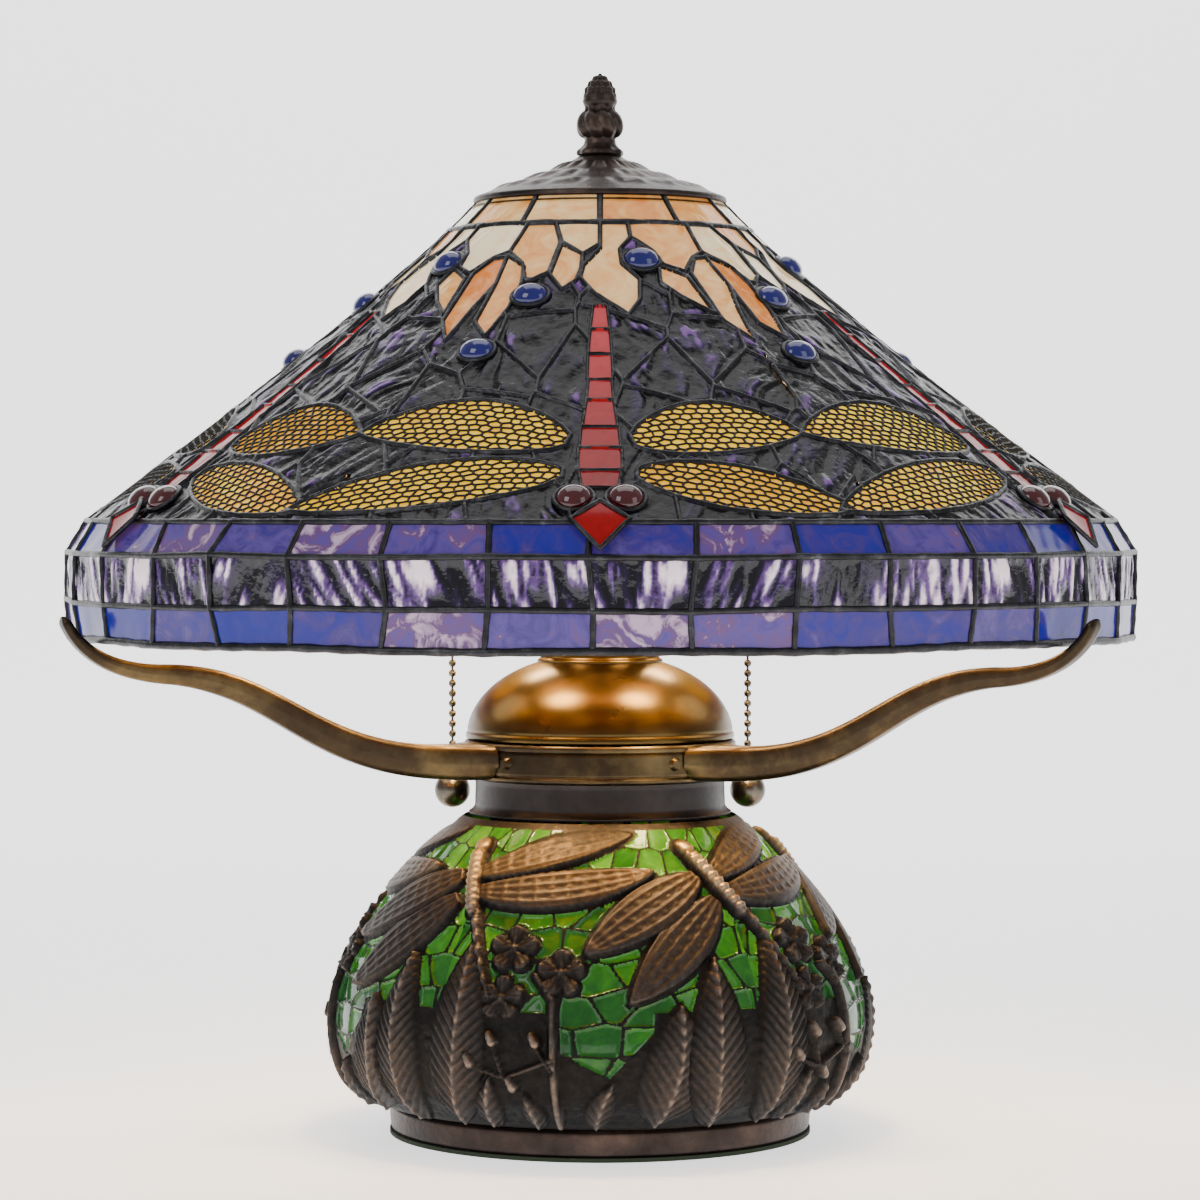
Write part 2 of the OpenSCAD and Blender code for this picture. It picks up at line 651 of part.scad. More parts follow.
module cone_came() {
  out = (came_t - glass_t) / 2;
  color([0.2, 0.2, 0.2]) difference() {
    union() {
      for (s = [crown_s, petal_s]) cone_band(s - came_half, s + came_half, out, came_t);
      came_bars(dragonflies, petal_s, cone_l - came_half);
      came_bars(crown_panes, crown_start, crown_s);
      came_bars(petals, crown_s, petal_s);
    }
    for (k = [0 : dragonflies - 1]) {
      jewel_prisms(270 + k * sector, set_gap);
      body_prism(270 + k * sector, set_gap);
    }
  }
}
module shade_ring() {
  color([0.3, 0.25, 0.2]) rotate_extrude() polygon([
    [top_r - 4, shade_top_z - 3.5], [top_r + 0.3, shade_top_z - 3.5], slant(crown_start - 0.3),
    [top_r + 0.2, shade_top_z - 1.4], [top_r - 0.6, shade_top_z + 0.6], [top_r - 4, shade_top_z + 0.6]
  ]);
}
module shade_spider() {
  z = shade_top_z - 3;
  color([0.6, 0.45, 0.2]) difference() {
    union() {
      translate([0, 0, z]) cylinder(r = riser_r + 4, h = 2);
      for (a = [0 : 90 : 270]) rotate([0, 0, a + 45]) translate([0, -3, z]) cube([top_r - 4.2, 6, 2]);
    }
    translate([0, 0, z - 1]) cylinder(r = riser_r + rod_gap, h = 4);
  }
}

// ---- Border of flat panes ----

border_rows = [
  [shade_r - border_in_low, shade_z, shade_r, row1_z],
  [shade_r, row1_z, shade_r, row2_z],
  [shade_r, row2_z, cone_r, row3_z]
];
pane_turn = 360 / panes;
module pane_prism(row, i, t, grow = 0) {
  tilt = atan2(row[2] - row[0], row[3] - row[1]);
  l = norm([row[2] - row[0], row[3] - row[1]]);
  half = tan(pane_turn / 2);
  flat = cos(pane_turn / 2);
  w0 = row[0] * flat * half - came_half + grow;
  w1 = row[2] * flat * half - came_half + grow;
  rotate([0, 0, 270 + (i + 0.5) * pane_turn]) translate([row[0] * flat, 0, row[1]]) rotate([0, tilt, 0])
    rotate([90, 0, 90]) translate([0, 0, -t / 2 - glass_t / 2]) linear_extrude(t)
      polygon([[-w0, came_half - grow], [w0, came_half - grow], [w1, l - came_half + grow], [-w1, l - came_half + grow]]);
}
module border_glass(k) {
  tint = [[0.35, 0.35, 0.75], [0.5, 0.4, 0.6], [0.45, 0.4, 0.7]];
  color(tint[k]) for (i = [0 : panes - 1]) pane_prism(border_rows[k], i, glass_t);
}
module border_came() {
  out = 0.6;
  line = [for (p = [[shade_r - border_in_low, shade_z], [shade_r, row1_z], [shade_r, row2_z], [cone_r, row3_z]]) p + [out, 0]];
  color([0.2, 0.2, 0.2]) difference() {
    rotate_extrude() polygon(concat(line, reversed([for (p = line) p - [came_t + 0.6, 0]])));
    for (row = border_rows, i = [0 : panes - 1]) pane_prism(row, i, 20, fit);
    cone_band(cone_l - 12, cone_l - came_half + fit, (came_t - glass_t) / 2 + fit, came_t + 2 * fit);
  }
}

// ---- Cap and finial ----

module vase_cap() {
  line = concat(
    [[cap_r, cap_z], [cap_r, cap_z + cap_skirt * 0.6], [cap_r - 1.4, cap_z + cap_skirt]],
    [for (p = bezier([cap_r - 4, cap_z + cap_skirt + 1.6], [cap_r * 0.6, cap_z + cap_skirt + 6],
                     [cap_r * 0.3, cap_top_z - 6], [7.5, cap_top_z], 12)) p]
  );
  color([0.24, 0.23, 0.22]) rotate_extrude() polygon(concat(
    line, [[riser_r + rod_gap, cap_top_z], [riser_r + rod_gap, cap_top_z - sheet_t], [6.5, cap_top_z - sheet_t]],
    reversed([for (i = [3 : len(line) - 2]) line[i] - [0.5, 1.3]]),
    [[cap_r - sheet_t - 0.3, cap_z + cap_skirt * 0.6], [cap_r - sheet_t, cap_z]]
  ));
}
module finial() {
  k = finial_h / 31;
  w = k;
  line = concat(
    [[riser_r + fit, 0], [9 * w, 0], [8.6 * w, 1.6 * k], [6.4 * w, 3.6 * k], [5.8 * w, 6.6 * k]],
    bezier([6 * w, 6.8 * k], [9.9 * w, 8.4 * k], [9.9 * w, 14.2 * k], [6 * w, 17 * k], 8),
    bezier([5.6 * w, 18 * k], [5.6 * w, 19 * k], [6.3 * w, 20 * k], [6.3 * w, 22 * k], 3),
    bezier([5.6 * w, 23 * k], [4.8 * w, 27 * k], [2.6 * w, 30.4 * k], [0, 31 * k], 8)
  );
  color([0.26, 0.2, 0.18]) translate([0, 0, finial_z]) rotate_extrude()
    polygon(concat(line, [[0, 16 * k], [riser_r + fit, 16 * k]]));
}

// ---- Every node by its name ----

felt_pad();
foot_ring();
base_plate();
rod_washer();
rod_nut();
cord_bushing();
base_casting();
mosaic_glass();
night_light_bracket();
night_light_socket();
night_light_base();
night_light_bulb();
neck_collar();
arm_band();
arm(arm_azimuth);  // arm_left
arm(arm_azimuth + 120);  // arm_right
arm(arm_azimuth + 240);  // arm_rear
arm_screws();
dome();
dome_nut();
centre_rod();
cluster_body();
cluster_lid();
riser_rod();
socket_cap(-1);  // left_socket_cap
socket_shell(-1);  // left_socket_shell
socket_core(-1);  // left_socket_core
screw_shell(-1);  // left_screw_shell
chain_guide(-1);  // left_chain_guide
bulb_base(-1);  // left_bulb_base
bulb_glass(-1);  // left_bulb_glass
socket_cap(1);  // right_socket_cap
socket_shell(1);  // right_socket_shell
socket_core(1);  // right_socket_core
screw_shell(1);  // right_screw_shell
chain_guide(1);  // right_chain_guide
bulb_base(1);  // right_bulb_base
bulb_glass(1);  // right_bulb_glass
chain_lead(-1);  // left_chain_lead
pull_chain(-1);  // left_pull_chain
pull_ball(-1);  // left_pull_ball
chain_lead(1);  // right_chain_lead
pull_chain(1);  // right_pull_chain
pull_ball(1);  // right_pull_ball
shade_ring();
shade_spider();
crown_glass();
petal_glass();
field_glass();
wing_glass();
dragonfly_bodies();
eye_jewels();
blue_jewels();
cone_came();
border_glass(2);  // border_up_glass
border_glass(1);  // border_mid_glass
border_glass(0);  // border_low_glass
border_came();
vase_cap();
finial();
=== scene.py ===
"""A leaded glass table lamp: a dragonfly shade on three arms above a bronze base with a green mosaic."""
import math

import bpy
import numpy as np
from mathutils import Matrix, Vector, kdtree


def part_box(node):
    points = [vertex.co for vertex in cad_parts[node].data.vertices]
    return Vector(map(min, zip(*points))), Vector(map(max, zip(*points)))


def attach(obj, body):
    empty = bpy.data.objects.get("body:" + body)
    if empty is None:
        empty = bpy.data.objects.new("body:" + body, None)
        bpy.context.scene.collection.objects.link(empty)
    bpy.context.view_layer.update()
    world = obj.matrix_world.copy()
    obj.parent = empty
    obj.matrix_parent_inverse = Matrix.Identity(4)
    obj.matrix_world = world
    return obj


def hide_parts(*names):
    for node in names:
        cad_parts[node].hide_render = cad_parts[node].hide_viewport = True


bl_info = {
    "name": "Leaded Glass Lamp",
    "version": (1, 0, 0),
    "blender": (4, 5, 0),
    "location": "View3D > Sidebar > Lamp",
    "description": "Builds the visible pieces of a leaded glass table lamp on its packed frame",
    "category": "Add Mesh",
}

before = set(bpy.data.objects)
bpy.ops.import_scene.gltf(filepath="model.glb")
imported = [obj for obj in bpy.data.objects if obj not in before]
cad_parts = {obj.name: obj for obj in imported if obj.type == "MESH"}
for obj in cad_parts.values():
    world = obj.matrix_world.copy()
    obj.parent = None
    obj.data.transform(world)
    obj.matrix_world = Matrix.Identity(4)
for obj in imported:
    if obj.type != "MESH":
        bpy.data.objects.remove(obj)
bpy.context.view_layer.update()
MM = 0.001
FRONT = math.radians(270)

# Driving sizes in millimetres, read from the frame where it has them
CAME_RISE = 0.6
SHOULDER_IN = 7.5
BORDER_LOW, BORDER_HIGH = [[v / MM for v in corner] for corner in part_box("border_came")]
EDGE_R = BORDER_HIGH[0] - CAME_RISE
EDGE_Z = BORDER_LOW[2]
CONE_Z = BORDER_HIGH[2]
CONE_R = EDGE_R - SHOULDER_IN
TOP_R = 46.5
TOP_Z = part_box("shade_ring")[1][2] / MM - CAME_RISE
CONE_L = math.hypot(CONE_R - TOP_R, TOP_Z - CONE_Z)
RUN = (CONE_R - TOP_R) / CONE_L
FALL = (TOP_Z - CONE_Z) / CONE_L
CONE_APEX = TOP_R / RUN
BAND_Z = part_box("arm_band")[0][2] / MM
BAND_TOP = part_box("arm_band")[1][2] / MM
BAND_R = 51.5
BAND_MID = (BAND_Z + BAND_TOP) / 2
FOOT_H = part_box("foot_ring")[1][2] / MM
CASTING_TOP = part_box("base_casting")[1][2] / MM

# Repeats round the lamp, in pieces and in degrees
SECTORS = 6
SECTOR = 60
BESIDE = (-SECTOR, 0, SECTOR)
BORDER_PANES = 36
REPEATS = 5
REPEAT = 72

# The eyes' place on the cone: degrees to each side of the body, and slant
EYE_PHI, EYE_S = 2.7, 179.5


# ---- Meshes ----

def add_mesh(name, verts, faces, material, body, sharp=None, **fields):
    """A smooth mesh of quads from points in millimetres, with float fields on them, that rides on a body."""
    verts = np.asarray(verts, float)
    used, index = np.unique(np.asarray(faces, int), return_inverse=True)
    faces = index.reshape(-1, 4)
    mesh = bpy.data.meshes.new(name)
    mesh.vertices.add(len(used))
    mesh.vertices.foreach_set("co", (verts[used] * MM).ravel())
    mesh.loops.add(faces.size)
    mesh.loops.foreach_set("vertex_index", faces.ravel())
    mesh.polygons.add(len(faces))
    mesh.polygons.foreach_set("loop_start", np.arange(0, faces.size, 4))
    mesh.polygons.foreach_set("use_smooth", np.ones(len(faces), bool))
    mesh.update(calc_edges=True)
    mesh.validate()
    for field, values in fields.items():
        data = mesh.attributes.new(field, "FLOAT", "POINT").data
        data.foreach_set("value", np.asarray(values, float).ravel()[used])
    if sharp is not None:
        mesh.set_sharp_from_angle(angle=math.radians(sharp))
    mesh.materials.append(material)
    piece = bpy.data.objects.new(name, mesh)
    bpy.context.scene.collection.objects.link(piece)
    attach(piece, body)
    return piece


def grid_faces(rows, cols, close=False):
    """Quads of a grid of points; close joins its last column to its first."""
    i, j = np.meshgrid(np.arange(rows - 1), np.arange(cols if close else cols - 1), indexing="ij")
    k = (j + 1) % cols
    return np.stack([i * cols + j, i * cols + k, (i + 1) * cols + k, (i + 1) * cols + j], -1).reshape(-1, 4)


def joined(parts):
    """Several (verts, faces) as one."""
    verts, faces, count = [], [], 0
    for v, f in parts:
        verts.append(v)
        faces.append(np.asarray(f, int) + count)
        count += len(v)
    return np.concatenate(verts), np.concatenate(faces)


def tube(points, radius, sides=8, closed=False):
    """A round bead along points, with one radius or one for each point."""
    p = np.asarray(points, float)
    radius = np.broadcast_to(radius, len(p))
    ahead = np.roll(p, -1, 0) - np.roll(p, 1, 0)
    if not closed:
        ahead[0], ahead[-1] = p[1] - p[0], p[-1] - p[-2]
    ahead /= np.linalg.norm(ahead, axis=1)[:, None]
    up = np.where(abs(ahead[:, 2:3]) > 0.9, [[1.0, 0, 0]], [[0, 0, 1.0]])
    side = np.cross(ahead, up)
    side /= np.linalg.norm(side, axis=1)[:, None]
    up = np.cross(side, ahead)
    a = np.arange(sides) * 2 * math.pi / sides
    ring = side[:, None] * np.cos(a)[None, :, None] + up[:, None] * np.sin(a)[None, :, None]
    verts = (p[:, None] + ring * radius[:, None, None]).reshape(-1, 3)
    faces = grid_faces(len(p), sides, True)
    if closed:
        last = (len(p) - 1) * sides
        j = np.arange(sides)
        k = (j + 1) % sides
        faces = np.concatenate([faces, np.stack([last + j, last + k, k, j], -1)])
    return verts, faces


def bezier(a, b, c, d, n=16):
    """Points on a cubic curve."""
    t = np.linspace(0, 1, n + 1)[:, None]
    a, b, c, d = (np.asarray(v, float) for v in (a, b, c, d))
    return (1 - t) ** 3 * a + 3 * (1 - t) ** 2 * t * b + 3 * (1 - t) * t ** 2 * c + t ** 3 * d


def resampled(line, step):
    """A polyline's points at an even spacing, and their distances along it."""
    line = np.asarray(line, float)
    along = np.concatenate([[0], np.cumsum(np.linalg.norm(np.diff(line, axis=0), axis=1))])
    t = np.linspace(0, along[-1], int(along[-1] / step) + 1)
    return np.stack([np.interp(t, along, line[:, k]) for k in range(line.shape[1])], 1), t


def lathe(profile, turns=128, step=0.8, relief=None):
    """A profile of (radius, height) turned about the axis, and moved out by relief(angle, distance)."""
    line, along = resampled(profile, step)
    ahead = np.gradient(line, axis=0)
    normal = np.stack([ahead[:, 1], -ahead[:, 0]], 1)
    normal /= np.maximum(np.linalg.norm(normal, axis=1), 1e-9)[:, None]
    a = np.arange(turns) * 2 * math.pi / turns
    out = np.zeros((len(line), turns))
    if relief is not None:
        out += relief(a[None, :], along[:, None])
    r = line[:, None, 0] + normal[:, None, 0] * out
    z = line[:, None, 1] + normal[:, None, 1] * out
    verts = np.stack([r * np.cos(a), r * np.sin(a), z + 0 * a], -1).reshape(-1, 3)
    return verts, grid_faces(len(line), turns, True)[:, ::-1]


def snapped(u, v, field):
    """Grid places moved so that a field's zero line runs through points, and the field at them."""
    du, dv = np.gradient(field)
    slope = np.maximum(du ** 2 + dv ** 2, 1e-9)
    su, sv = -field * du / slope, -field * dv / slope
    near = (abs(su) < 0.55) & (abs(sv) < 0.55)
    near[:, [0, -1]] = False
    uu, uv = np.gradient(u)
    vu, vv = np.gradient(v)
    u = np.where(near, u + su * uu + sv * uv, u)
    v = np.where(near, v + su * vu + sv * vv, v)
    return u, v, np.where(near, 0.0, field)


def noise(x, y, size, seed, octaves=3):
    """Smooth seeded value noise over a plane, from about -1 to 1, for features of that size."""
    total = 0
    for k in range(octaves):
        rng = np.random.default_rng(seed + k)
        table = rng.uniform(-1, 1, (64, 64))
        gx, gy = x / size * 2 ** k, y / size * 2 ** k
        ix, iy = np.floor(gx).astype(int), np.floor(gy).astype(int)
        fx, fy = gx - ix, gy - iy
        fx, fy = fx * fx * (3 - 2 * fx), fy * fy * (3 - 2 * fy)
        a, b = table[ix % 64, iy % 64], table[(ix + 1) % 64, iy % 64]
        c, d = table[ix % 64, (iy + 1) % 64], table[(ix + 1) % 64, (iy + 1) % 64]
        here = a * (1 - fx) * (1 - fy) + b * fx * (1 - fy) + c * (1 - fx) * fy + d * fx * fy
        total = total + here / 2 ** k
    return total


# ---- Materials ----

MATERIALS = {}
RIPPLE_SIZE = 3.0

# Heights between which the base's relief turns from its dark patina to a painted gold highlight of the lamp's
# light
LAMPLIGHT_FROM, LAMPLIGHT_TO = 92, 130


def linear(colour):
    """An sRGB hex colour as linear red, green, blue and alpha."""
    parts = [int(colour[k:k + 2], 16) / 255 for k in (1, 3, 5)]
    return [c / 12.92 if c <= 0.04045 else ((c + 0.055) / 1.055) ** 2.4 for c in parts] + [1.0]


def add(tree, kind, links=(), values=(), **settings):
    """A node with its settings, its sockets' values and the links that feed it."""
    node = tree.nodes.new(kind)
    for name, value in settings.items():
        setattr(node, name, value)
    for socket, value in dict(values).items():
        node.inputs[socket].default_value = value
    for socket, source in dict(links).items():
        tree.links.new(source, node.inputs[socket])
    return node


def start(name, **values):
    """A new material with a Principled shader whose sockets hold these values."""
    material = bpy.data.materials.new(name)
    material.use_nodes = True
    tree = material.node_tree
    shader = tree.nodes["Principled BSDF"]
    for socket, value in values.items():
        shader.inputs[socket.replace("_", " ")].default_value = value
    return material, tree, shader


def ramp(tree, factor, colours, places):
    """A colour ramp of hex colours, parted by spaces, at these places."""
    node = add(tree, "ShaderNodeValToRGB", {"Fac": factor})
    marks = node.color_ramp.elements
    while len(marks) < len(places):
        marks.new(0.5)
    for mark, colour, place in zip(marks, colours.split(), places):
        mark.position = place
        mark.color = linear(colour)
    return node.outputs["Color"]


def object_place(tree):
    """The coordinates of the object, in metres."""
    return add(tree, "ShaderNodeTexCoord").outputs["Object"]


def bumped(tree, shader, height, depth, strength=1.0):
    """Bump of that depth in millimetres on the shader."""
    node = add(tree, "ShaderNodeBump", {"Height": height}, {"Distance": depth * MM, "Strength": strength})
    tree.links.new(node.outputs["Normal"], shader.inputs["Normal"])


def art_glass(name, colours, places, glow, streak=9.0, spread=0.35, roughness=0.12, ripple=0.0, coat=0.5,
              sheen=0.35):
    """Rolled art glass: each piece takes its tone from the ramp, with streaks of that size in millimetres.

    Lit from inside, it glows in its own colour. A ripple is the depth of its rolled surface in millimetres.
    """
    material, tree, shader = start(name, Roughness=roughness, IOR=1.52, Specular_IOR_Level=sheen,
                                   Coat_Weight=coat, Coat_Roughness=0.05)
    place = object_place(tree)
    tone = add(tree, "ShaderNodeAttribute", attribute_name="tone").outputs["Fac"]
    streaks = add(tree, "ShaderNodeTexNoise", {"Vector": place},
                  {"Scale": 1 / (streak * MM), "Detail": 4.0, "Roughness": 0.6, "Distortion": 1.4})
    shift = add(tree, "ShaderNodeMath", {0: streaks.outputs["Fac"]}, {1: 0.5}, operation="SUBTRACT")
    mixed = add(tree, "ShaderNodeMath", {0: shift.outputs[0], 2: tone}, {1: spread * 2},
                operation="MULTIPLY_ADD")
    colour = ramp(tree, mixed.outputs[0], colours, places)
    tree.links.new(colour, shader.inputs["Base Color"])
    tree.links.new(colour, shader.inputs["Emission Color"])
    shader.inputs["Emission Strength"].default_value = glow
    if ripple:
        waves = add(tree, "ShaderNodeTexNoise", {"Vector": place},
                    {"Scale": 1 / (RIPPLE_SIZE * MM), "Detail": 2.0})
        bumped(tree, shader, waves.outputs["Fac"], ripple)
    return material


def metal(name, colours, places, metallic, roughness, grain=2.5, depth=0.05, patch=24.0):
    """A patinated metal: colour in soft patches and a fine grain in its gloss, both sized in millimetres."""
    material, tree, shader = start(name, Metallic=metallic)
    place = object_place(tree)
    clouds = add(tree, "ShaderNodeTexNoise", {"Vector": place},
                 {"Scale": 1 / (patch * MM), "Detail": 6.0, "Roughness": 0.65})
    fine = add(tree, "ShaderNodeTexNoise", {"Vector": place}, {"Scale": 1 / (grain * MM), "Detail": 3.0})
    tree.links.new(ramp(tree, clouds.outputs["Fac"], colours, places), shader.inputs["Base Color"])
    gloss = add(tree, "ShaderNodeMapRange", {"Value": fine.outputs["Fac"]},
                {"To Min": roughness * 0.75, "To Max": min(1.0, roughness * 1.3)})
    tree.links.new(gloss.outputs["Result"], shader.inputs["Roughness"])
    bumped(tree, shader, fine.outputs["Fac"], depth)
    return material


def relief_bronze(hollow, rubbed):
    """Cast bronze with an antiqued patina, dark in its hollows; high on the base it turns gold, a painted
    highlight of the lamp's light.
    """
    material, tree, shader = start("antiqued_cast_bronze", Metallic=0.75)
    place = object_place(tree)
    rise = add(tree, "ShaderNodeAttribute", attribute_name="rise").outputs["Fac"]
    grain = add(tree, "ShaderNodeTexNoise", {"Vector": place}, {"Scale": 1 / (2.2 * MM), "Detail": 4.0})
    worn = add(tree, "ShaderNodeMath", {0: grain.outputs["Fac"], 2: rise}, {1: 0.45},
               operation="MULTIPLY_ADD")
    wear = (0.2, 0.45, 0.75, 1.0)
    dark = ramp(tree, worn.outputs[0], hollow, wear)
    # Painted highlight: this second ramp is the gold that the lamp's light lays on the upper base
    gold = ramp(tree, worn.outputs[0], rubbed, wear)
    height = add(tree, "ShaderNodeSeparateXYZ", {"Vector": place}).outputs["Z"]
    lit = add(tree, "ShaderNodeMapRange", {"Value": height},
              {"From Min": LAMPLIGHT_FROM * MM, "From Max": LAMPLIGHT_TO * MM})
    mix = add(tree, "ShaderNodeMix", data_type="RGBA")
    tree.links.new(lit.outputs["Result"], mix.inputs["Factor"])
    tree.links.new(dark, mix.inputs["A"])
    tree.links.new(gold, mix.inputs["B"])
    tree.links.new(mix.outputs["Result"], shader.inputs["Base Color"])
    gloss = add(tree, "ShaderNodeMapRange", {"Value": worn.outputs[0]}, {"To Min": 0.62, "To Max": 0.34})
    tree.links.new(gloss.outputs["Result"], shader.inputs["Roughness"])
    bumped(tree, shader, grain.outputs["Fac"], 0.12)
    return material


def plain(name, colour, metallic=0.0, roughness=0.5, grain=1.0, depth=0.03, glow=0.0):
    """A material of one colour with a fine grain, for pieces that are mostly hidden."""
    material, tree, shader = start(name, Metallic=metallic, Roughness=roughness, Base_Color=linear(colour),
                                   Emission_Color=linear(colour), Emission_Strength=glow)
    fine = add(tree, "ShaderNodeTexNoise", {"Vector": object_place(tree)}, {"Scale": 1 / (grain * MM)})
    bumped(tree, shader, fine.outputs["Fac"], depth)
    return material


def make_materials():
    """Every finish of the lamp, by the name that the pieces use."""
    c = bpy.context.scene.lamp_colours
    glow = c.glow
    MATERIALS.update(
        # lead came, soldered over and blackened: bright only where its beads catch the light
        lead=metal("blackened_solder", c.lead, (0.3, 0.6, 0.8), 0.85, 0.34, grain=2.0, depth=0.25, patch=7.0),
        # opalescent glass: cream with peach and amber wisps
        cream=art_glass("cream_opalescent_glass", c.cream, (0.1, 0.3, 0.55, 0.9), 0.26 * glow,
                        streak=14, spread=0.5, coat=0.1, sheen=0.2),
        # rippled glass: dark indigo, with painted highlights on its pale crests
        field=art_glass("indigo_ripple_glass", c.field, (0.1, 0.5, 0.76, 0.98), 0.10 * glow,
                        streak=10, roughness=0.24, ripple=0.4, coat=0.04, sheen=0.16),
        # amber glass, bright behind its filigree
        wing=art_glass("amber_wing_glass", c.wing, (0.1, 0.4, 0.7, 0.95), 0.75 * glow,
                       streak=16, spread=0.5, coat=0.0, sheen=0.1),
        # selenium red glass, deepest at the tail
        red=art_glass("scarlet_glass", c.red, (0.0, 0.5, 1.0), 0.34 * glow, streak=8, coat=0.05, sheen=0.2),
        # pressed cabochons, polished, so that each holds a small hard highlight
        ruby=art_glass("ruby_cabochon", c.ruby, (0.0, 1.0), 0.10 * glow, roughness=0.05, coat=0.6),
        cobalt=art_glass("cobalt_cabochon", c.cobalt, (0.0, 1.0), 0.12 * glow, roughness=0.05, coat=0.6),
        # mottled glass of the border: each pane violet, blue or lavender
        border=art_glass("violet_mottled_glass", c.border, (0.0, 0.28, 0.48, 0.7, 0.85, 0.98), 0.30 * glow,
                         streak=12, spread=0.6, coat=0.1, sheen=0.25),
        # deeply rippled glass of the middle row: plum, with painted highlights on its white crests
        ripple=art_glass("plum_ripple_glass", c.ripple, (0.1, 0.4, 0.62, 0.95), 0.28 * glow,
                         streak=5, spread=0.25, roughness=0.1, ripple=0.4, coat=0.3),
        # cathedral glass of the lit base: leaf green, made paler higher up as painted light from above
        mosaic=art_glass("green_mosaic_glass", c.mosaic, (0.0, 0.3, 0.6, 1.0), 0.12 * glow,
                         streak=9, spread=0.3, coat=0.1, sheen=0.22),
        # etched brass net, blackened, so that the wings show only through its holes
        net=metal("blackened_brass_filigree", c.net, (0.3, 0.7), 0.5, 0.55, grain=1.5, depth=0.05),
        # antiqued bronze: patina dark in its hollows, and a painted gold highlight high on the base under the
        # lamp
        bronze=relief_bronze(c.relief_hollow, c.relief_lamplit),
        # bronze-plated castings with a near-black patina and dull highlights
        dark=metal("dark_patina_bronze", c.dark, (0.3, 0.55, 0.8), 0.8, 0.4, depth=0.2),
        # lacquered steel, smooth and almost black
        collar=metal("gunmetal_lacquer", c.collar, (0.3, 0.7), 0.7, 0.42),
        # antiqued brass: brown, with gold where it is rubbed
        arm=metal("antiqued_brass", c.arm, (0.3, 0.5, 0.75), 0.95, 0.34, patch=45.0, depth=0.08),
        # spun brass: smooth, with broad soft reflections
        spun=metal("spun_brass", c.spun, (0.3, 0.5, 0.7), 1.0, 0.28, grain=30.0, patch=120.0, depth=0.01),
        # turned brass and plated steel of the lamp parts, bright and clean
        brass=metal("yellow_brass", c.brass, (0.3, 0.7), 1.0, 0.3),
        steel=metal("zinc_plated_steel", c.steel, (0.3, 0.7), 1.0, 0.35),
        # bead chain, worn dull by hands
        chain=metal("aged_brass_chain", c.chain, (0.3, 0.7), 1.0, 0.3, grain=1.0),
        # pieces that are mostly hidden: pressed felt, moulded plastic, glazed porcelain and frosted glass
        felt=plain("green_felt", "#26301e", roughness=0.95, grain=0.4, depth=0.3),
        plastic=plain("black_moulded_plastic", "#141414", roughness=0.45),
        porcelain=plain("glazed_porcelain", "#e8e4da", roughness=0.2),
        bulb=plain("frosted_bulb_glass", "#fff0d0", roughness=0.4, glow=2.5),
    )


# ---- The shade's cone ----

def flattened(phi, s):
    """Where a place on the cone lies when the cone is unrolled flat: phi in degrees, s down the slant."""
    rho = CONE_APEX + s
    theta = np.radians(phi) * RUN
    return rho * np.sin(theta), -rho * np.cos(theta)


def rolled(x, y, out, turn=0.0):
    """Where a point of the flat cone, out millimetres off it, lies in the sector turned by turn degrees."""
    rho = np.hypot(x, y)
    phi = np.arctan2(x, -y) / RUN
    s = rho - CONE_APEX
    angle = FRONT + phi + math.radians(turn)
    hollow = bpy.context.scene.lamp_sizes.cone_hollow / MM
    out = out - hollow * np.sin(math.pi * np.clip(s / CONE_L, 0, 1) ** 0.7)
    r = rho * RUN + out * FALL + wobble(angle) * s / CONE_L
    return np.stack([r * np.cos(angle), r * np.sin(angle), TOP_Z - s * FALL + out * RUN], -1)


def wobble(angle):
    """How far a handmade shade is out of round."""
    return 0.5 * np.sin(3 * angle + 1) + 0.35 * np.sin(7 * angle + 2) + 0.25 * np.sin(13 * angle)


def petal_outlines():
    """The cream petals of one sector, as (degrees, slant) corners."""
    return [
        [(0, 17), (10, 17), (10, 25), (6, 32), (6, 41), (10, 50), (9, 62), (6, 71), (-1, 59), (-5, 49),
         (-4.5, 42), (0, 32)],
        [(-16, 17), (0, 17), (0, 29), (-5, 35), (-12, 28)],
        [(-27, 17), (-16, 17), (-12.5, 28), (-13.5, 46), (-17, 50), (-19, 50), (-22, 40), (-28, 33)],
        [(-12, 29), (-5, 35), (-5, 43), (-6, 51), (-9, 56), (-13, 47)],
        [(-28, 35), (-21, 42), (-19.5, 52), (-20, 67), (-22, 84), (-26, 75), (-26.5, 52)],
        [(10, 17), (33, 17), (32, 33), (28, 36), (23, 45), (17.5, 41), (16, 33), (10, 25)],
        [(16, 42), (23, 48), (25, 70), (20, 62), (15, 52)],
        [(28, 37), (33, 36), (34, 50), (31.5, 66), (30, 86), (26, 74), (24.5, 46)],
    ]


def ellipse(phi, s, across, down, n=20):
    """An oval of half widths across and down, in millimetres, at a place on the flat cone."""
    x, y = flattened(phi, s)
    a = np.arange(n) * 2 * math.pi / n
    theta = math.radians(phi) * RUN
    px, py = across * np.cos(a), -down * np.sin(a)
    cosine, sine = math.cos(theta), math.sin(theta)
    return np.stack([x + px * cosine - py * sine, y + px * sine + py * cosine], 1)


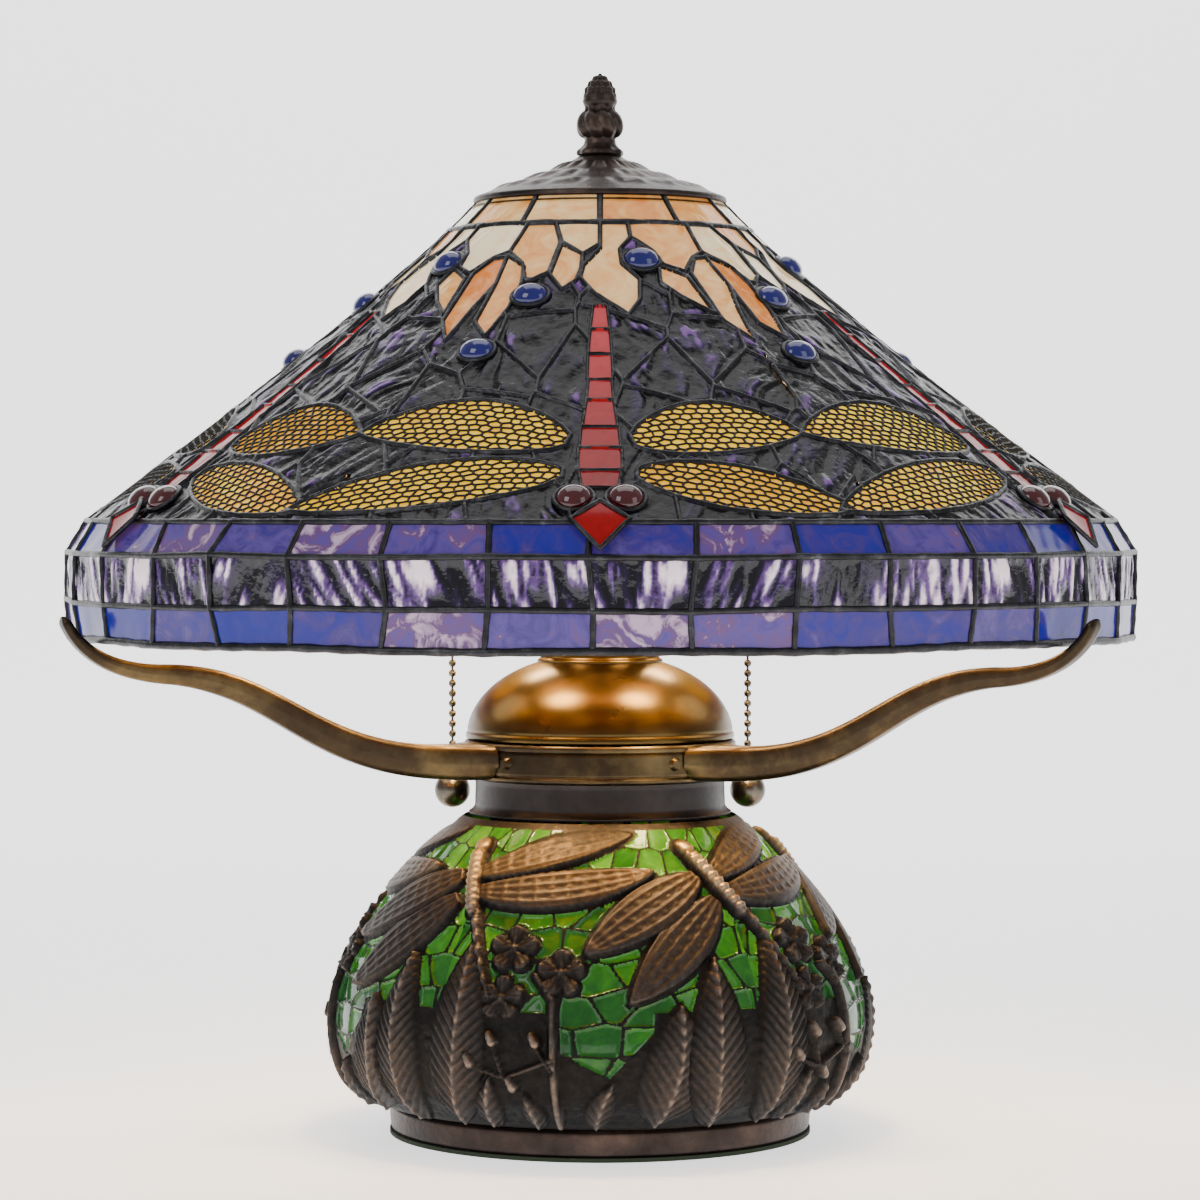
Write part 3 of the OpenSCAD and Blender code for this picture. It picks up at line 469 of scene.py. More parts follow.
def wing_outline(side, upper, n=18):
    """A wing on the flat cone, from its root beside the body to its tip."""
    reach = 33 if side < 0 else 27.2
    low_reach = 34.5 if side < 0 else 27.4
    root, tip, half = ((4.0, 146), (reach, 141), 14.0) if upper else ((4.2, 165), (low_reach, 186), 12.2)
    (x0, y0), (x1, y1) = flattened(side * root[0], root[1]), flattened(side * tip[0], tip[1])
    u = np.linspace(0, 1, n)
    width = half * (0.22 * (1 - u) ** 2 + np.sin(math.pi * np.clip(u, 0, 1) ** 0.95) ** 0.72)
    width[-1] = 0
    length = math.hypot(x1 - x0, y1 - y0)
    dx, dy = (x1 - x0) / length, (y1 - y0) / length
    cx, cy = x0 + (x1 - x0) * u, y0 + (y1 - y0) * u
    sweep = (3.0 if upper else -1.5) * np.sin(math.pi * u)
    cx, cy = cx - dy * sweep * side, cy + dx * sweep * side
    one = np.stack([cx - dy * width, cy + dx * width], 1)
    two = np.stack([cx + dy * width, cy - dx * width], 1)[:-1]
    return np.concatenate([one, two[::-1]])


def turned(outline, turn):
    """An outline on the flat cone moved round the shade by turn degrees."""
    a = math.radians(turn) * RUN
    x, y = outline.T
    return np.stack([x * math.cos(a) - y * math.sin(a), x * math.sin(a) + y * math.cos(a)], 1)


# Half the width of the leads round each kind of piece
LEAD_HALF = {"petal": 0.95, "jewel": 1.1, "crown": 1.2, "wing": 1.05, "body": 0.6, "eye": 1.0, "field": 0.9}

# The openings of the wings' filigree, along and across the wing
NET_LONG, NET_SHORT = 4.4, 2.9

# The panes of a dragonfly's body: slant at top and bottom, half width at top and bottom
BODY_ROWS = [(66, 80, 2.6, 3.6), (80, 95, 3.6, 4.3), (95, 110, 4.3, 4.6), (110, 122, 4.2, 4.8),
             (122, 138, 4.8, 6.2), (138, 150, 6.6, 7.2), (150, 163, 7.6, 7.6), (163, 173, 7.4, 6.2)]

# The blue jewels of one sector, as (degrees, slant)
JEWELS = [(11.6, 39), (-16, 60), (-22, 93)]


def row_outline(row):
    """A pane of a dragonfly's body."""
    s0, s1, w0, w1 = row
    y0, y1 = -(CONE_APEX + s0), -(CONE_APEX + s1)
    return np.array([(-w0, y0), (w0, y0), (w1, y1), (-w1, y1)])


def inside_distance(x, y, outline):
    """The distance from each point to an outline, positive inside it."""
    nearest = np.full(np.shape(x), 1e9)
    inside = np.zeros(np.shape(x), bool)
    for (ax, ay), (bx, by) in zip(outline, np.roll(outline, -1, 0)):
        ex, ey = bx - ax, by - ay
        t = np.clip(((x - ax) * ex + (y - ay) * ey) / max(ex * ex + ey * ey, 1e-12), 0, 1)
        nearest = np.minimum(nearest, np.hypot(x - ax - t * ex, y - ay - t * ey))
        crosses = ((ay > y) != (by > y)) & (x < (bx - ax) * (y - ay) / (by - ay if by != ay else 1e-12) + ax)
        inside ^= crosses
    return np.where(inside, nearest, -nearest)


def layout():
    """One sector's pieces, each over those before it: (kind, outline, half width of its leads, turn)."""
    crown = [[(-30, 0), (0, 0), (0, 16), (-30, 16)], [(0, 0), (30, 0), (30, 16), (0, 16)]]
    places = []
    for turn in BESIDE:
        for points in petal_outlines():
            places.append(("cream", np.array([flattened(p + turn, s) for p, s in points]),
                           LEAD_HALF["petal"], turn))
        for jewel in JEWELS:
            places.append(("cobalt", ellipse(jewel[0] + turn, jewel[1], 6.8, 5.6), LEAD_HALF["jewel"], turn))
    for points in crown:
        dense = [(p0 + (p1 - p0) * t, s0 + (s1 - s0) * t)
                 for (p0, s0), (p1, s1) in zip(points, points[1:] + points[:1])
                 for t in np.arange(0, 1, 0.125)]
        places.append(("cream", np.array([flattened(p, s) for p, s in dense]), LEAD_HALF["crown"], 0))
    for turn in BESIDE:
        for side in (-1, 1):
            for upper in (True, False):
                places.append(("wing", turned(wing_outline(side, upper), turn), LEAD_HALF["wing"], turn))
    for row in BODY_ROWS:
        places.append(("red", row_outline(row), LEAD_HALF["body"], 0))
    for side in (-1, 1):
        places.append(("ruby", ellipse(side * EYE_PHI, EYE_S, 6.6, 6.6), LEAD_HALF["eye"], 0))
    return places


def field_seeds():
    """Where the field's pieces lie: long and irregular, running down the slant, the same in every sector."""
    rng = np.random.default_rng(11)
    seeds = []
    for row, s in enumerate(np.arange(34, 200, 25)):
        count = 3 + row // 2
        for k in range(count):
            phi = -SECTOR / 2 + SECTOR * (k + 0.5 * (row % 2) + 0.25) / count + rng.uniform(-3, 3)
            seeds.append((phi, s + rng.uniform(-8, 8)))
    return [(phi + turn, s, turn) for turn in BESIDE for phi, s in seeds]


def sector_field():
    """One sector's grid: its flat places, the piece that each is in, and how far inside a lead it lies."""
    rows, cols = 330, 300
    wide = SECTOR / 2 + 0.15
    s, phi = np.meshgrid(np.linspace(0.4, CONE_L, rows), np.linspace(-wide, wide, cols), indexing="ij")
    x, y = flattened(phi, s)
    places = layout()
    seeds = field_seeds()
    across = np.array([flattened(p, q) for p, q, _ in seeds])
    reach = np.hypot((x[..., None] - across[:, 0]) * 1.7, y[..., None] - across[:, 1])
    piece = np.argmin(reach, -1)
    base = len(seeds)
    signed = np.stack([inside_distance(x, y, outline) for _, outline, _, _ in places])
    for k in range(len(places)):
        piece = np.where(signed[k] > 0, base + k, piece)
    marks, halves = [], []
    for axis in (0, 1):
        a = tuple(slice(None, -1) if d == axis else slice(None) for d in (0, 1))
        b = tuple(slice(1, None) if d == axis else slice(None) for d in (0, 1))
        i, j = np.nonzero(piece[a] != piece[b])
        i2, j2 = (i + 1, j) if axis == 0 else (i, j + 1)
        high = np.maximum(piece[i, j], piece[i2, j2])
        low = np.minimum(piece[i, j], piece[i2, j2])
        over = high >= base
        top = np.where(over, high - base, 0)
        one, two = np.minimum(high, base - 1), np.minimum(low, base - 1)
        f0 = np.where(over, signed[top, i, j], reach[i, j, one] - reach[i, j, two])
        f1 = np.where(over, signed[top, i2, j2], reach[i2, j2, one] - reach[i2, j2, two])
        t = np.where(f0 * f1 < 0, f0 / np.where(f0 == f1, 1, f0 - f1), 0.5)
        marks.append(np.stack([x[i, j] + t * (x[i2, j2] - x[i, j]), y[i, j] + t * (y[i2, j2] - y[i, j])], 1))
        widths = np.array([w for _, _, w, _ in places])
        halves.append(np.where(over, widths[top], LEAD_HALF["field"]))
    marks, halves = np.concatenate(marks), np.concatenate(halves)
    tree = kdtree.KDTree(len(marks))
    for k, (px, py) in enumerate(marks):
        tree.insert((px, py, 0), k)
    tree.balance()
    found = [tree.find((px, py, 0)) for px, py in zip(x.ravel(), y.ravel())]
    gap = np.array([f[2] for f in found]).reshape(x.shape)
    half = halves[[f[1] for f in found]].reshape(x.shape)
    kinds = np.array(["field"] * base + [p[0] for p in places])
    turns = [turn for _, _, turn in seeds] + [p[3] for p in places]
    return x, y, piece, kinds, tone_places(turns), half - gap, half


def seamless(x, y, pattern):
    """A pattern over the flat cone that runs on from one sector into the next."""
    blend = np.clip((np.degrees(np.arctan2(x, -y)) / RUN + SECTOR / 2) / 8, 0, 1)
    a = math.radians(SECTOR) * RUN
    far = pattern(x * math.cos(a) - y * math.sin(a), x * math.sin(a) + y * math.cos(a))
    return pattern(x, y) * blend + far * (1 - blend)


def ripples(x, y):
    """Long ripples that run down the slant, wandering a little."""
    swirl = 5 * noise(x, y, 30, 21, 2)
    return noise(x * 0.9 + swirl, y * 0.34 + swirl, 3.6, 5, 2)


def tone_places(turns):
    """For each piece, its place in its own sector's list of tones, and which sector that is."""
    counts = {}
    places = []
    for turn in turns:
        counts[turn] = counts.get(turn, -1) + 1
        places.append((counts[turn], turn // SECTOR))
    return places


def build_cone():
    """The cone's glass and leads, one set of pieces for each of its six sectors."""
    x, y, piece, kinds, tone_of, lead, half = sector_field()
    tables = [np.random.default_rng(40 + k).uniform(0.1, 0.9, len(kinds)) for k in range(SECTORS)]
    fx, fy, lead = snapped(x, y, lead)
    faces = grid_faces(*x.shape)
    middle = lead.ravel()[faces].mean(1)
    round_top = np.sqrt(np.clip(1 - (1 - np.clip(lead / half, 0, 1)) ** 2, 0, 1))
    solder = 1 + 0.18 * seamless(fx, fy, lambda a, b: noise(a, b, 5, 3))
    bead = bpy.context.scene.lamp_sizes.lead_height / MM * round_top * solder
    fade = np.clip(-lead / 1.2, 0, 1)
    crest = seamless(fx, fy, ripples)
    kind_here = kinds[piece]
    amount = np.select([kind_here == "field", kind_here == "cream", kind_here == "wing"],
                       [0.62, 0.12, 0.0], 0.1)
    out = np.where(lead > 0, bead, fade * amount * crest)
    down = np.hypot(x, y) - CONE_APEX
    kind_of = kinds[np.median(piece.ravel()[faces], 1).astype(int)]
    for k in range(SECTORS):
        tone = np.array([tables[(k + sector) % SECTORS][place] for place, sector in tone_of])[piece]
        # The field's tone follows the ripples' height: a random tone for each piece, with a painted highlight
        # on each crest
        tone = np.where(kind_here == "field", np.clip(0.3 * tone + 0.18 + 0.62 * crest, 0, 1), tone)
        tone = np.where(kind_here == "red", np.clip(1.1 - (down - BODY_ROWS[0][0]) / 110, 0, 1), tone)
        verts = rolled(fx, fy, out, SECTOR * k).reshape(-1, 3)
        add_mesh(f"cone_lead_{k + 1}", verts, faces[middle > 0], MATERIALS["lead"], "shade")
        for kind in ("field", "cream", "wing", "red"):
            mine = (middle <= 0) & (kind_of == kind)
            add_mesh(f"{kind}_glass_{k + 1}", verts, faces[mine], MATERIALS[kind], "shade", tone=tone)


def clipped(points, nx, ny, c):
    """The part of a polygon on the side of a line where n.p <= c."""
    kept = []
    for (ax, ay), (bx, by) in zip(points, points[1:] + points[:1]):
        da, db = ax * nx + ay * ny - c, bx * nx + by * ny - c
        if da <= 0:
            kept.append((ax, ay))
        if (da < 0 < db) or (db < 0 < da):
            t = da / (da - db)
            kept.append((ax + (bx - ax) * t, ay + (by - ay) * t))
    return kept


def net_cells(outline, long, short, seed):
    """The openings of a filigree inside an outline, longer along the wing than across it."""
    rng = np.random.default_rng(seed)
    axis = outline[len(outline) // 2] - outline[0]
    axis /= np.linalg.norm(axis)
    side = np.array([-axis[1], axis[0]])
    flat = np.stack([outline @ axis / long, outline @ side / short], 1)
    low, high = flat.min(0), flat.max(0)
    seeds = [(i + 0.5 * (j % 2) + rng.uniform(-0.26, 0.26), j + rng.uniform(-0.2, 0.2))
             for i in np.arange(low[0] - 1, high[0] + 1)
             for j in np.arange(math.floor(low[1]) - 1, high[1] + 1)]
    seeds = np.array(seeds)
    border = [tuple(p) for p in flat]
    cells = []
    for p in seeds:
        cell = border
        gaps = np.hypot(*(seeds - p).T)
        for m in np.argsort(gaps)[1:13]:
            n = seeds[m] - p
            cell = clipped(cell, n[0], n[1], float(n @ (p + seeds[m]) / 2))
            if len(cell) < 3:
                break
        if len(cell) >= 3:
            corners = np.array(cell)
            cells.append(corners[:, :1] * long * axis + corners[:, 1:] * short * side)
    return cells


def net_strip(cell, turn):
    """The wire round one opening of the net, flat at its outer edge and rounded down to the hole."""
    centre = cell.mean(0)
    edge = np.roll(cell, -1, 0) - cell
    spans = np.linalg.norm(edge, axis=1)
    keep = spans > 0.15
    if keep.sum() < 3:
        return None
    cell, edge, spans = cell[keep], edge[keep], spans[keep]
    reach = centre - cell
    inner = np.min(abs(edge[:, 0] * reach[:, 1] - edge[:, 1] * reach[:, 0]) / spans)
    wire = bpy.context.scene.lamp_sizes.net_wire / MM
    shrink = 1 - wire / inner if inner > 0.6 else 0.3
    hole = centre + (cell - centre) * shrink
    ridge = centre + (cell - centre) * (0.5 + shrink / 2)
    rings = [rolled(*outline.T, out, turn) for outline, out in ((cell, 0.62), (ridge, 0.6), (hole, -0.1))]
    return np.concatenate(rings), grid_faces(3, len(cell), True)


def build_filigree():
    """A pierced brass net over each wing."""
    for k in range(SECTORS):
        parts = []
        for w, (side, upper) in enumerate([(-1, True), (1, True), (-1, False), (1, False)]):
            cells = net_cells(wing_outline(side, upper), NET_LONG, NET_SHORT, 70 + 4 * k + w)
            parts += [net_strip(cell, SECTOR * k) for cell in cells]
        verts, faces = joined([part for part in parts if part])
        add_mesh(f"wing_filigree_{k + 1}", verts, faces, MATERIALS["net"], "shade")


def dome_of(outline, height, turn, rings=10, lift=0.3):
    """A cabochon: an outline domed up off the cone."""
    centre = outline.mean(0)
    rows = []
    for t in np.linspace(0.0, 1, rings + 1):
        place = centre + (outline - centre) * (1 - t ** 2 if t < 1 else 0.001)
        out = lift + height * math.sqrt(max(0.0, 1 - (1 - t ** 2) ** 2)) - (0.8 if t == 0 else 0)
        rows.append(rolled(place[:, 0], place[:, 1], out, turn))
    verts = np.concatenate(rows)
    return verts, grid_faces(rings + 1, len(outline), True)


def build_cabochons():
    """The blue jewels and the dragonflies' ruby eyes, each in a ring of lead."""
    sizes = bpy.context.scene.lamp_sizes
    eye = sizes.eye_radius / MM
    jewels, eyes, rings = [], [], []
    for k in range(SECTORS):
        for phi, s in JEWELS:
            jewels.append(dome_of(ellipse(phi, s, 6.6, 5.4, 28), sizes.jewel_height / MM, SECTOR * k))
            rings.append(setting(ellipse(phi, s, 7.1, 5.9, 28), SECTOR * k))
        for side in (-1, 1):
            eyes.append(dome_of(ellipse(side * EYE_PHI, EYE_S, eye, eye, 28), 4.4, SECTOR * k))
            rings.append(setting(ellipse(side * EYE_PHI, EYE_S, eye + 0.6, eye + 0.6, 28), SECTOR * k))
    sets = [("blue_cabochons", jewels, "cobalt"), ("ruby_eyes", eyes, "ruby"),
            ("cabochon_leads", rings, "lead")]
    for name, parts, finish in sets:
        verts, faces = joined(parts)
        add_mesh(name, verts, faces, MATERIALS[finish], "shade", tone=np.full(len(verts), 0.4))


def setting(rim, turn):
    """The ring of lead round a cabochon."""
    return tube(rolled(rim[:, 0], rim[:, 1], 0.5, turn), 0.9, 8, True)


# ---- The shade's border ----

def border_corners():
    """The corners of the border's panes: four rings of them, each corner a little out of true."""
    rng = np.random.default_rng(5)
    heights = [EDGE_Z, EDGE_Z + 13.5, CONE_Z - 11.5, CONE_Z]
    radii = [EDGE_R - 1.6, EDGE_R, EDGE_R, CONE_R]
    slip = rng.uniform(-1, 1, (4, BORDER_PANES, 3)) * np.array([0.5, 0.5, 0.55])
    corners = np.zeros((4, BORDER_PANES, 3))
    for row in range(4):
        loose = 0.0 if row == 3 else 1.0
        for k in range(BORDER_PANES):
            a = FRONT + math.radians(10 * k - 1 + slip[row, k, 0])
            r = radii[row] + wobble(a) + loose * slip[row, k, 1]
            corners[row, k] = (r * math.cos(a), r * math.sin(a), heights[row] + loose * slip[row, k, 2])
    return corners


def between(a, b, c, d, u, v):
    """Points over a flat pane between corners a and b below and c and d above."""
    return (a * (1 - u) + b * u) * (1 - v) + (c * (1 - u) + d * u) * v


def border_row(corners, row, rng):
    """One row of the border's panes and their tones; the middle row's glass is deeply rippled."""
    rippled = row == 1
    crest_size, crest_height = (2.4, 0.75) if rippled else (9.0, 0.15)
    nu, nv = 34, 12
    u, v = np.meshgrid(np.linspace(0, 1, nu), np.linspace(0, 1, nv))
    still = np.minimum(np.minimum(u, 1 - u) * 8, 1) * np.minimum(np.minimum(v, 1 - v) * 6, 1)
    panes, tones = [], []
    for k in range(BORDER_PANES):
        m = (k + 1) % BORDER_PANES
        a, b, c, d = corners[row, k], corners[row, m], corners[row + 1, k], corners[row + 1, m]
        place = between(a, b, c, d, u[..., None], v[..., None])
        normal = np.cross(b - a, c - a)
        normal /= np.linalg.norm(normal)
        x, y = u * 34 + 41 * k, v * 15
        twist = rng.uniform(-0.5, 0.5)
        waves = noise(x + twist * y, y * 0.22, crest_size, 90 + row, 2) * crest_height
        place = place + normal * waves[..., None] * still[..., None]
        panes.append((place.reshape(-1, 3), grid_faces(nv, nu)))
        tone = rng.uniform(0.05, 0.95)
        # The rippled row's tone follows its waves: the pane's own tone, with a painted highlight on each
        # crest
        streaks_and_highlights = np.clip(0.35 * tone + 0.26 + 0.95 * waves, 0, 1)
        tones.append((streaks_and_highlights if rippled else np.full(u.shape, tone)).ravel())
    return joined(panes), np.concatenate(tones)


def build_border():
    """The border's three rows of flat panes, their leads and the wire in the bottom edge."""
    corners = border_corners()
    rng = np.random.default_rng(8)
    rows = [("border_low", "border"), ("border_middle", "ripple"), ("border_upper", "border")]
    for row, (name, finish) in enumerate(rows):
        (verts, faces), tones = border_row(corners, row, rng)
        add_mesh(f"{name}_panes", verts, faces, MATERIALS[finish], "shade", tone=tones)
    leads = []
    for row in range(4):
        ring = []
        for k in range(BORDER_PANES):
            a, b = corners[row, k], corners[row, (k + 1) % BORDER_PANES]
            ring += [a + (b - a) * t for t in (0, 0.2, 0.4, 0.6, 0.8)]
        thick = 1.5 if row == 0 else 1.15
        leads.append(tube(ring, thick * (1 + 0.14 * np.sin(np.arange(len(ring)) * 2.7)), 10, True))
    for row in range(3):
        for k in range(BORDER_PANES):
            a, b = corners[row, k], corners[row + 1, k]
            t = np.linspace(0, 1, 7)[:, None]
            leads.append(tube(a + (b - a) * t, 1.1 * (1 + 0.12 * np.sin(np.arange(7) * 2.1 + k)), 10))
    verts, faces = joined(leads)
    add_mesh("border_leads", verts, faces, MATERIALS["lead"], "shade")


def head_corner(turn, across, z):
    """A place on the shade's skin beside the middle of a dragonfly's head."""
    s = (TOP_Z - z) / FALL
    r = TOP_R + s * RUN + 2.4 if z > CONE_Z else CONE_R + (CONE_Z - z) * SHOULDER_IN / 11 + 2.6
    a = FRONT + turn + across / r
    return np.array([r * math.cos(a), r * math.sin(a), z + 0.8])


def build_heads():
    """Each dragonfly's red head: a diamond that hangs over the top of the border."""
    heads, leads = [], []
    u, v = np.meshgrid(np.linspace(0, 1, 10), np.linspace(0, 1, 10))
    for k in range(SECTORS):
        places = [(0, CONE_Z + 6.5), (10, CONE_Z + 0.5), (0, CONE_Z - 9.5), (-10, CONE_Z + 0.5)]
        top, right, low, left = [head_corner(math.radians(SECTOR * k), *place) for place in places]
        heads.append((between(top, right, left, low, u[..., None], v[..., None]).reshape(-1, 3),
                      grid_faces(10, 10)[:, ::-1]))
        corners = [top, right, low, left]
        loop = [a + (b - a) * t for a, b in zip(corners, corners[1:] + [top]) for t in (0, 0.25, 0.5, 0.75)]
        leads.append(tube(loop, 0.95, 8, True))
    verts, faces = joined(heads)
    add_mesh("red_heads", verts, faces, MATERIALS["red"], "shade", tone=np.full(len(verts), 0.25))
    verts, faces = joined(leads)
    add_mesh("head_leads", verts, faces, MATERIALS["lead"], "shade")


# ---- Cap and finial ----

def build_cap():
    """The pressed cap, with rows of leaves round it and a rolled rim."""
    low, high = [corner[2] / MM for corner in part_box("vase_cap")]
    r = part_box("vase_cap")[1][0] / MM
    outside = [(r - 1.6, low + 0.2), (r - 0.2, low + 0.6), (r, low + 1.6), (r - 0.4, low + 2.6),
               (r - 1.6, low + 3.2), (r - 2.6, low + 3.4)]
    outside += list(bezier((r - 2.8, low + 3.6), (r * 0.62, low + 9.5), (r * 0.34, high - 6), (8, high), 20))
    outside.append((4, high))

    def leaves(a, t):
        ring = np.clip((t - 9) / 4, 0, 1) * np.clip((44 - t) / 4, 0, 1)
        row = np.floor((t - 9) / 12)
        lobe = abs(np.sin(a * 9 + row * math.pi / 2))
        arch = np.sin(np.clip((t - 9) % 12 / 12, 0, 1) * math.pi)
        return ring * (0.9 * np.clip(lobe * 1.25 - 0.25, 0, 1) * arch + 0.15 * np.sin(a * 36) * arch)

    verts, faces = lathe(outside, 288, 0.6, leaves)
    piece = add_mesh("leaf_cap", verts, faces, MATERIALS["dark"], "shade")
    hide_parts("vase_cap")


def build_finial():
    """The cast finial: a fluted bulb under a pointed cone of scales."""
    low, high = [corner[2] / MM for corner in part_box("finial")]
    h = (high - low) / 31
    lower = [(0.5, 0), (8.4, 0), (8.9, 0.6), (8.6, 1.8), (7.2, 3), (6.2, 4.4), (5.8, 6.2)]
    lower += list(bezier((6.2, 6.8), (10.0, 8.2), (10.0, 14.4), (5.8, 17), 12))
    upper = list(bezier((5.6, 17.6), (5.2, 18.6), (6.8, 19.4), (6.6, 21), 6))
    upper += list(bezier((6.4, 21.6), (6.6, 25), (3.4, 30), (0.1, 31), 14))
    profile = [(r, low + z * h) for r, z in lower + upper]

    def carving(a, t):
        bulb = np.clip((t - 15) / 2, 0, 1) * np.clip((31 - t) / 2, 0, 1)
        cone = np.clip((t - 34) / 2, 0, 1) * np.clip((52 - t) / 3, 0, 1)
        flutes = abs(np.sin(a * 4 + (t - 22) * 0.16))
        scales = np.sin(a * 6 + t * 1.1) * np.sin(a * 6 - t * 1.1)
        foot = 0.25 * np.sin(a * 10) * np.clip((14 - t) / 4, 0, 1) * np.clip((t - 7) / 2, 0, 1)
        return bulb * (0.9 * flutes - 0.6) + cone * 0.45 * scales + foot

    verts, faces = lathe(profile, 160, 0.35, carving)
    piece = add_mesh("cone_finial", verts, faces, MATERIALS["dark"], "finial")
    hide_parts("finial")


# ---- Base ----

# The base's outline from its foot to its collar, as (radius, height)
BELLY = [(79.5, 12), (83, 12.4), (88.5, 13.8), (95, 18.5), (98.9, 23), (102, 31), (103.4, 40),
         (103.3, 48), (101.5, 58), (97.5, 68.5), (92.3, 78), (86, 87.5), (78.7, 96.5), (70.4, 105.7),
         (61, 114.5), (52, 121)]


def belly_line():
    """The base's outline from foot to collar, smoothed."""
    line = np.array(BELLY)
    line[:, 1] = FOOT_H + (line[:, 1] - 12) * (CASTING_TOP - FOOT_H) / 109.4
    for _ in range(2):
        mid = (line[1:] + line[:-1]) / 2
        soft = line.copy()
        soft[1:-1] = (line[1:-1] * 2 + mid[:-1] + mid[1:]) / 4
        grown = np.empty((len(soft) + len(mid), 2))
        grown[0::2], grown[1::2] = soft, mid
        line = grown
    return resampled(line, 0.7)


class Relief:
    """The height of the cast relief over one repeat, built up from leaves, wings, stems and blossoms."""

    def __init__(self, angle, along, radius, height):
        self.angle, self.along, self.radius, self.z = angle, along, radius, height
        self.rise = np.zeros(angle.shape)
        self.cover = np.full(angle.shape, -99.0)

    def level(self, z):
        """The distance along the outline at a height."""
        return np.interp(z, self.z[:, 0], self.along[:, 0])

    def local(self, a0, z0, a1, z1):
        """Each point's place along and across the line between two places, and the line's length."""
        r = np.interp((z0 + z1) / 2, self.z[:, 0], self.radius[:, 0]) * math.pi / 180
        ex, ey = (a1 - a0) * r, self.level(z1) - self.level(z0)
        length = math.hypot(ex, ey)
        middle = (a0 + a1) / 2
        px = ((self.angle - middle + REPEAT / 2) % REPEAT - REPEAT / 2 + middle - a0) * r
        py = self.along - self.level(z0)
        return (px * ex + py * ey) / length, (py * ex - px * ey) / length, length

    def lay(self, inside, rise):
        """Adds a feature: inside is its signed distance in millimetres and rise its height there."""
        edge = np.clip(inside / 0.9, 0, 1)
        edge = edge * edge * (3 - 2 * edge)
        self.rise = np.where(inside > 0, np.maximum(self.rise * (1 - edge), rise * edge), self.rise)
        self.cover = np.maximum(self.cover, inside)

    def leaf(self, a0, z0, a1, z1, width, bend=0.0):
        """A leaf with a midrib and slanting veins, between two (angle, height) places."""
        u, v, length = self.local(a0, z0, a1, z1)
        t = np.clip(u / length, 0, 1)
        v = v - bend * np.sin(math.pi * t)
        half = width * np.sin(math.pi * t ** 0.8) ** 0.8 + 0.01
        inside = np.minimum(half - abs(v), np.minimum(u, length - u))
        veins = 0.32 * np.sin(2 * math.pi * (u - 1.1 * abs(v)) / 4.4)
        swell = 1.7 * (1 - np.clip(abs(v) / half, 0, 1)) ** 0.8
        midrib = 1.0 * np.exp(-(v / 0.9) ** 2)
        edge = 0.9 * np.exp(-(inside / 1.0) ** 2)
        self.lay(inside, 1.1 + swell + 1.25 * veins + midrib - edge)

    def wing(self, a0, z0, a1, z1, width, bend=0.0):
        """A wing with long ribs and rows of small beads between them."""
        u, v, length = self.local(a0, z0, a1, z1)
        t = np.clip(u / length, 0, 1)
        v = v - bend * np.sin(math.pi * t)
        half = width * (0.3 * (1 - t) + np.sin(math.pi * t) ** 0.7) + 0.01
        half = np.where(t > 0.97, half * (1 - t) / 0.03, half)
        inside = np.minimum(half - abs(v), np.minimum(u, length - u))
        rise = 2.3 + 0 * u
        for place in (-0.62, -0.2, 0.25, 0.68):
            rise = rise + 0.5 * np.exp(-((v - place * half) / 0.75) ** 2)
        beads = np.clip(np.cos(2 * math.pi * u / 6.0), 0, 1)
        for place in (-0.42, 0.04, 0.47):
            rise = rise + 0.4 * beads * np.exp(-((v - place * half) / 0.9) ** 2)
        rise = rise + 0.5 * np.exp(-(inside / 0.8) ** 2)
        self.lay(inside, rise)

    def stem(self, a0, z0, a1, z1, r0, r1, rise, beads=0.0):
        """A round stem, bud or body that tapers from r0 to r1, ringed where beads gives a spacing."""
        u, v, length = self.local(a0, z0, a1, z1)
        t = np.clip(u / length, 0, 1)
        gap = np.hypot(u - t * length, v)
        radius = r0 + (r1 - r0) * t
        inside = radius - gap
        height = rise + radius * np.sqrt(np.clip(1 - (gap / radius) ** 2, 0, 1))
        if beads:
            height = height + 0.5 * np.cos(2 * math.pi * u / beads)
        self.lay(inside, height)

    def blossom(self, a, z, radius):
        """A flower of five petals with stamens."""
        u, v, _ = self.local(a, z, a, z + 1)
        gap, turn = np.hypot(u, v), np.arctan2(v, u)
        lobe = abs(np.cos(2.5 * turn))
        edge = radius * (0.62 + 0.38 * lobe ** 0.6)
        height = (1.2 + 1.9 * np.clip(gap / radius, 0, 1)
                  + 0.35 * np.cos(turn * 20) * (gap > 0.35 * radius) - 1.2 * (1 - lobe))
        centre = 1.8 * np.exp(-(gap / 1.7) ** 2)
        stamens = 1.0 * np.clip(np.cos(turn * 8), 0, 1) * np.exp(-((gap - 3.3) / 0.8) ** 2)
        self.lay(edge - gap, height + centre + stamens)


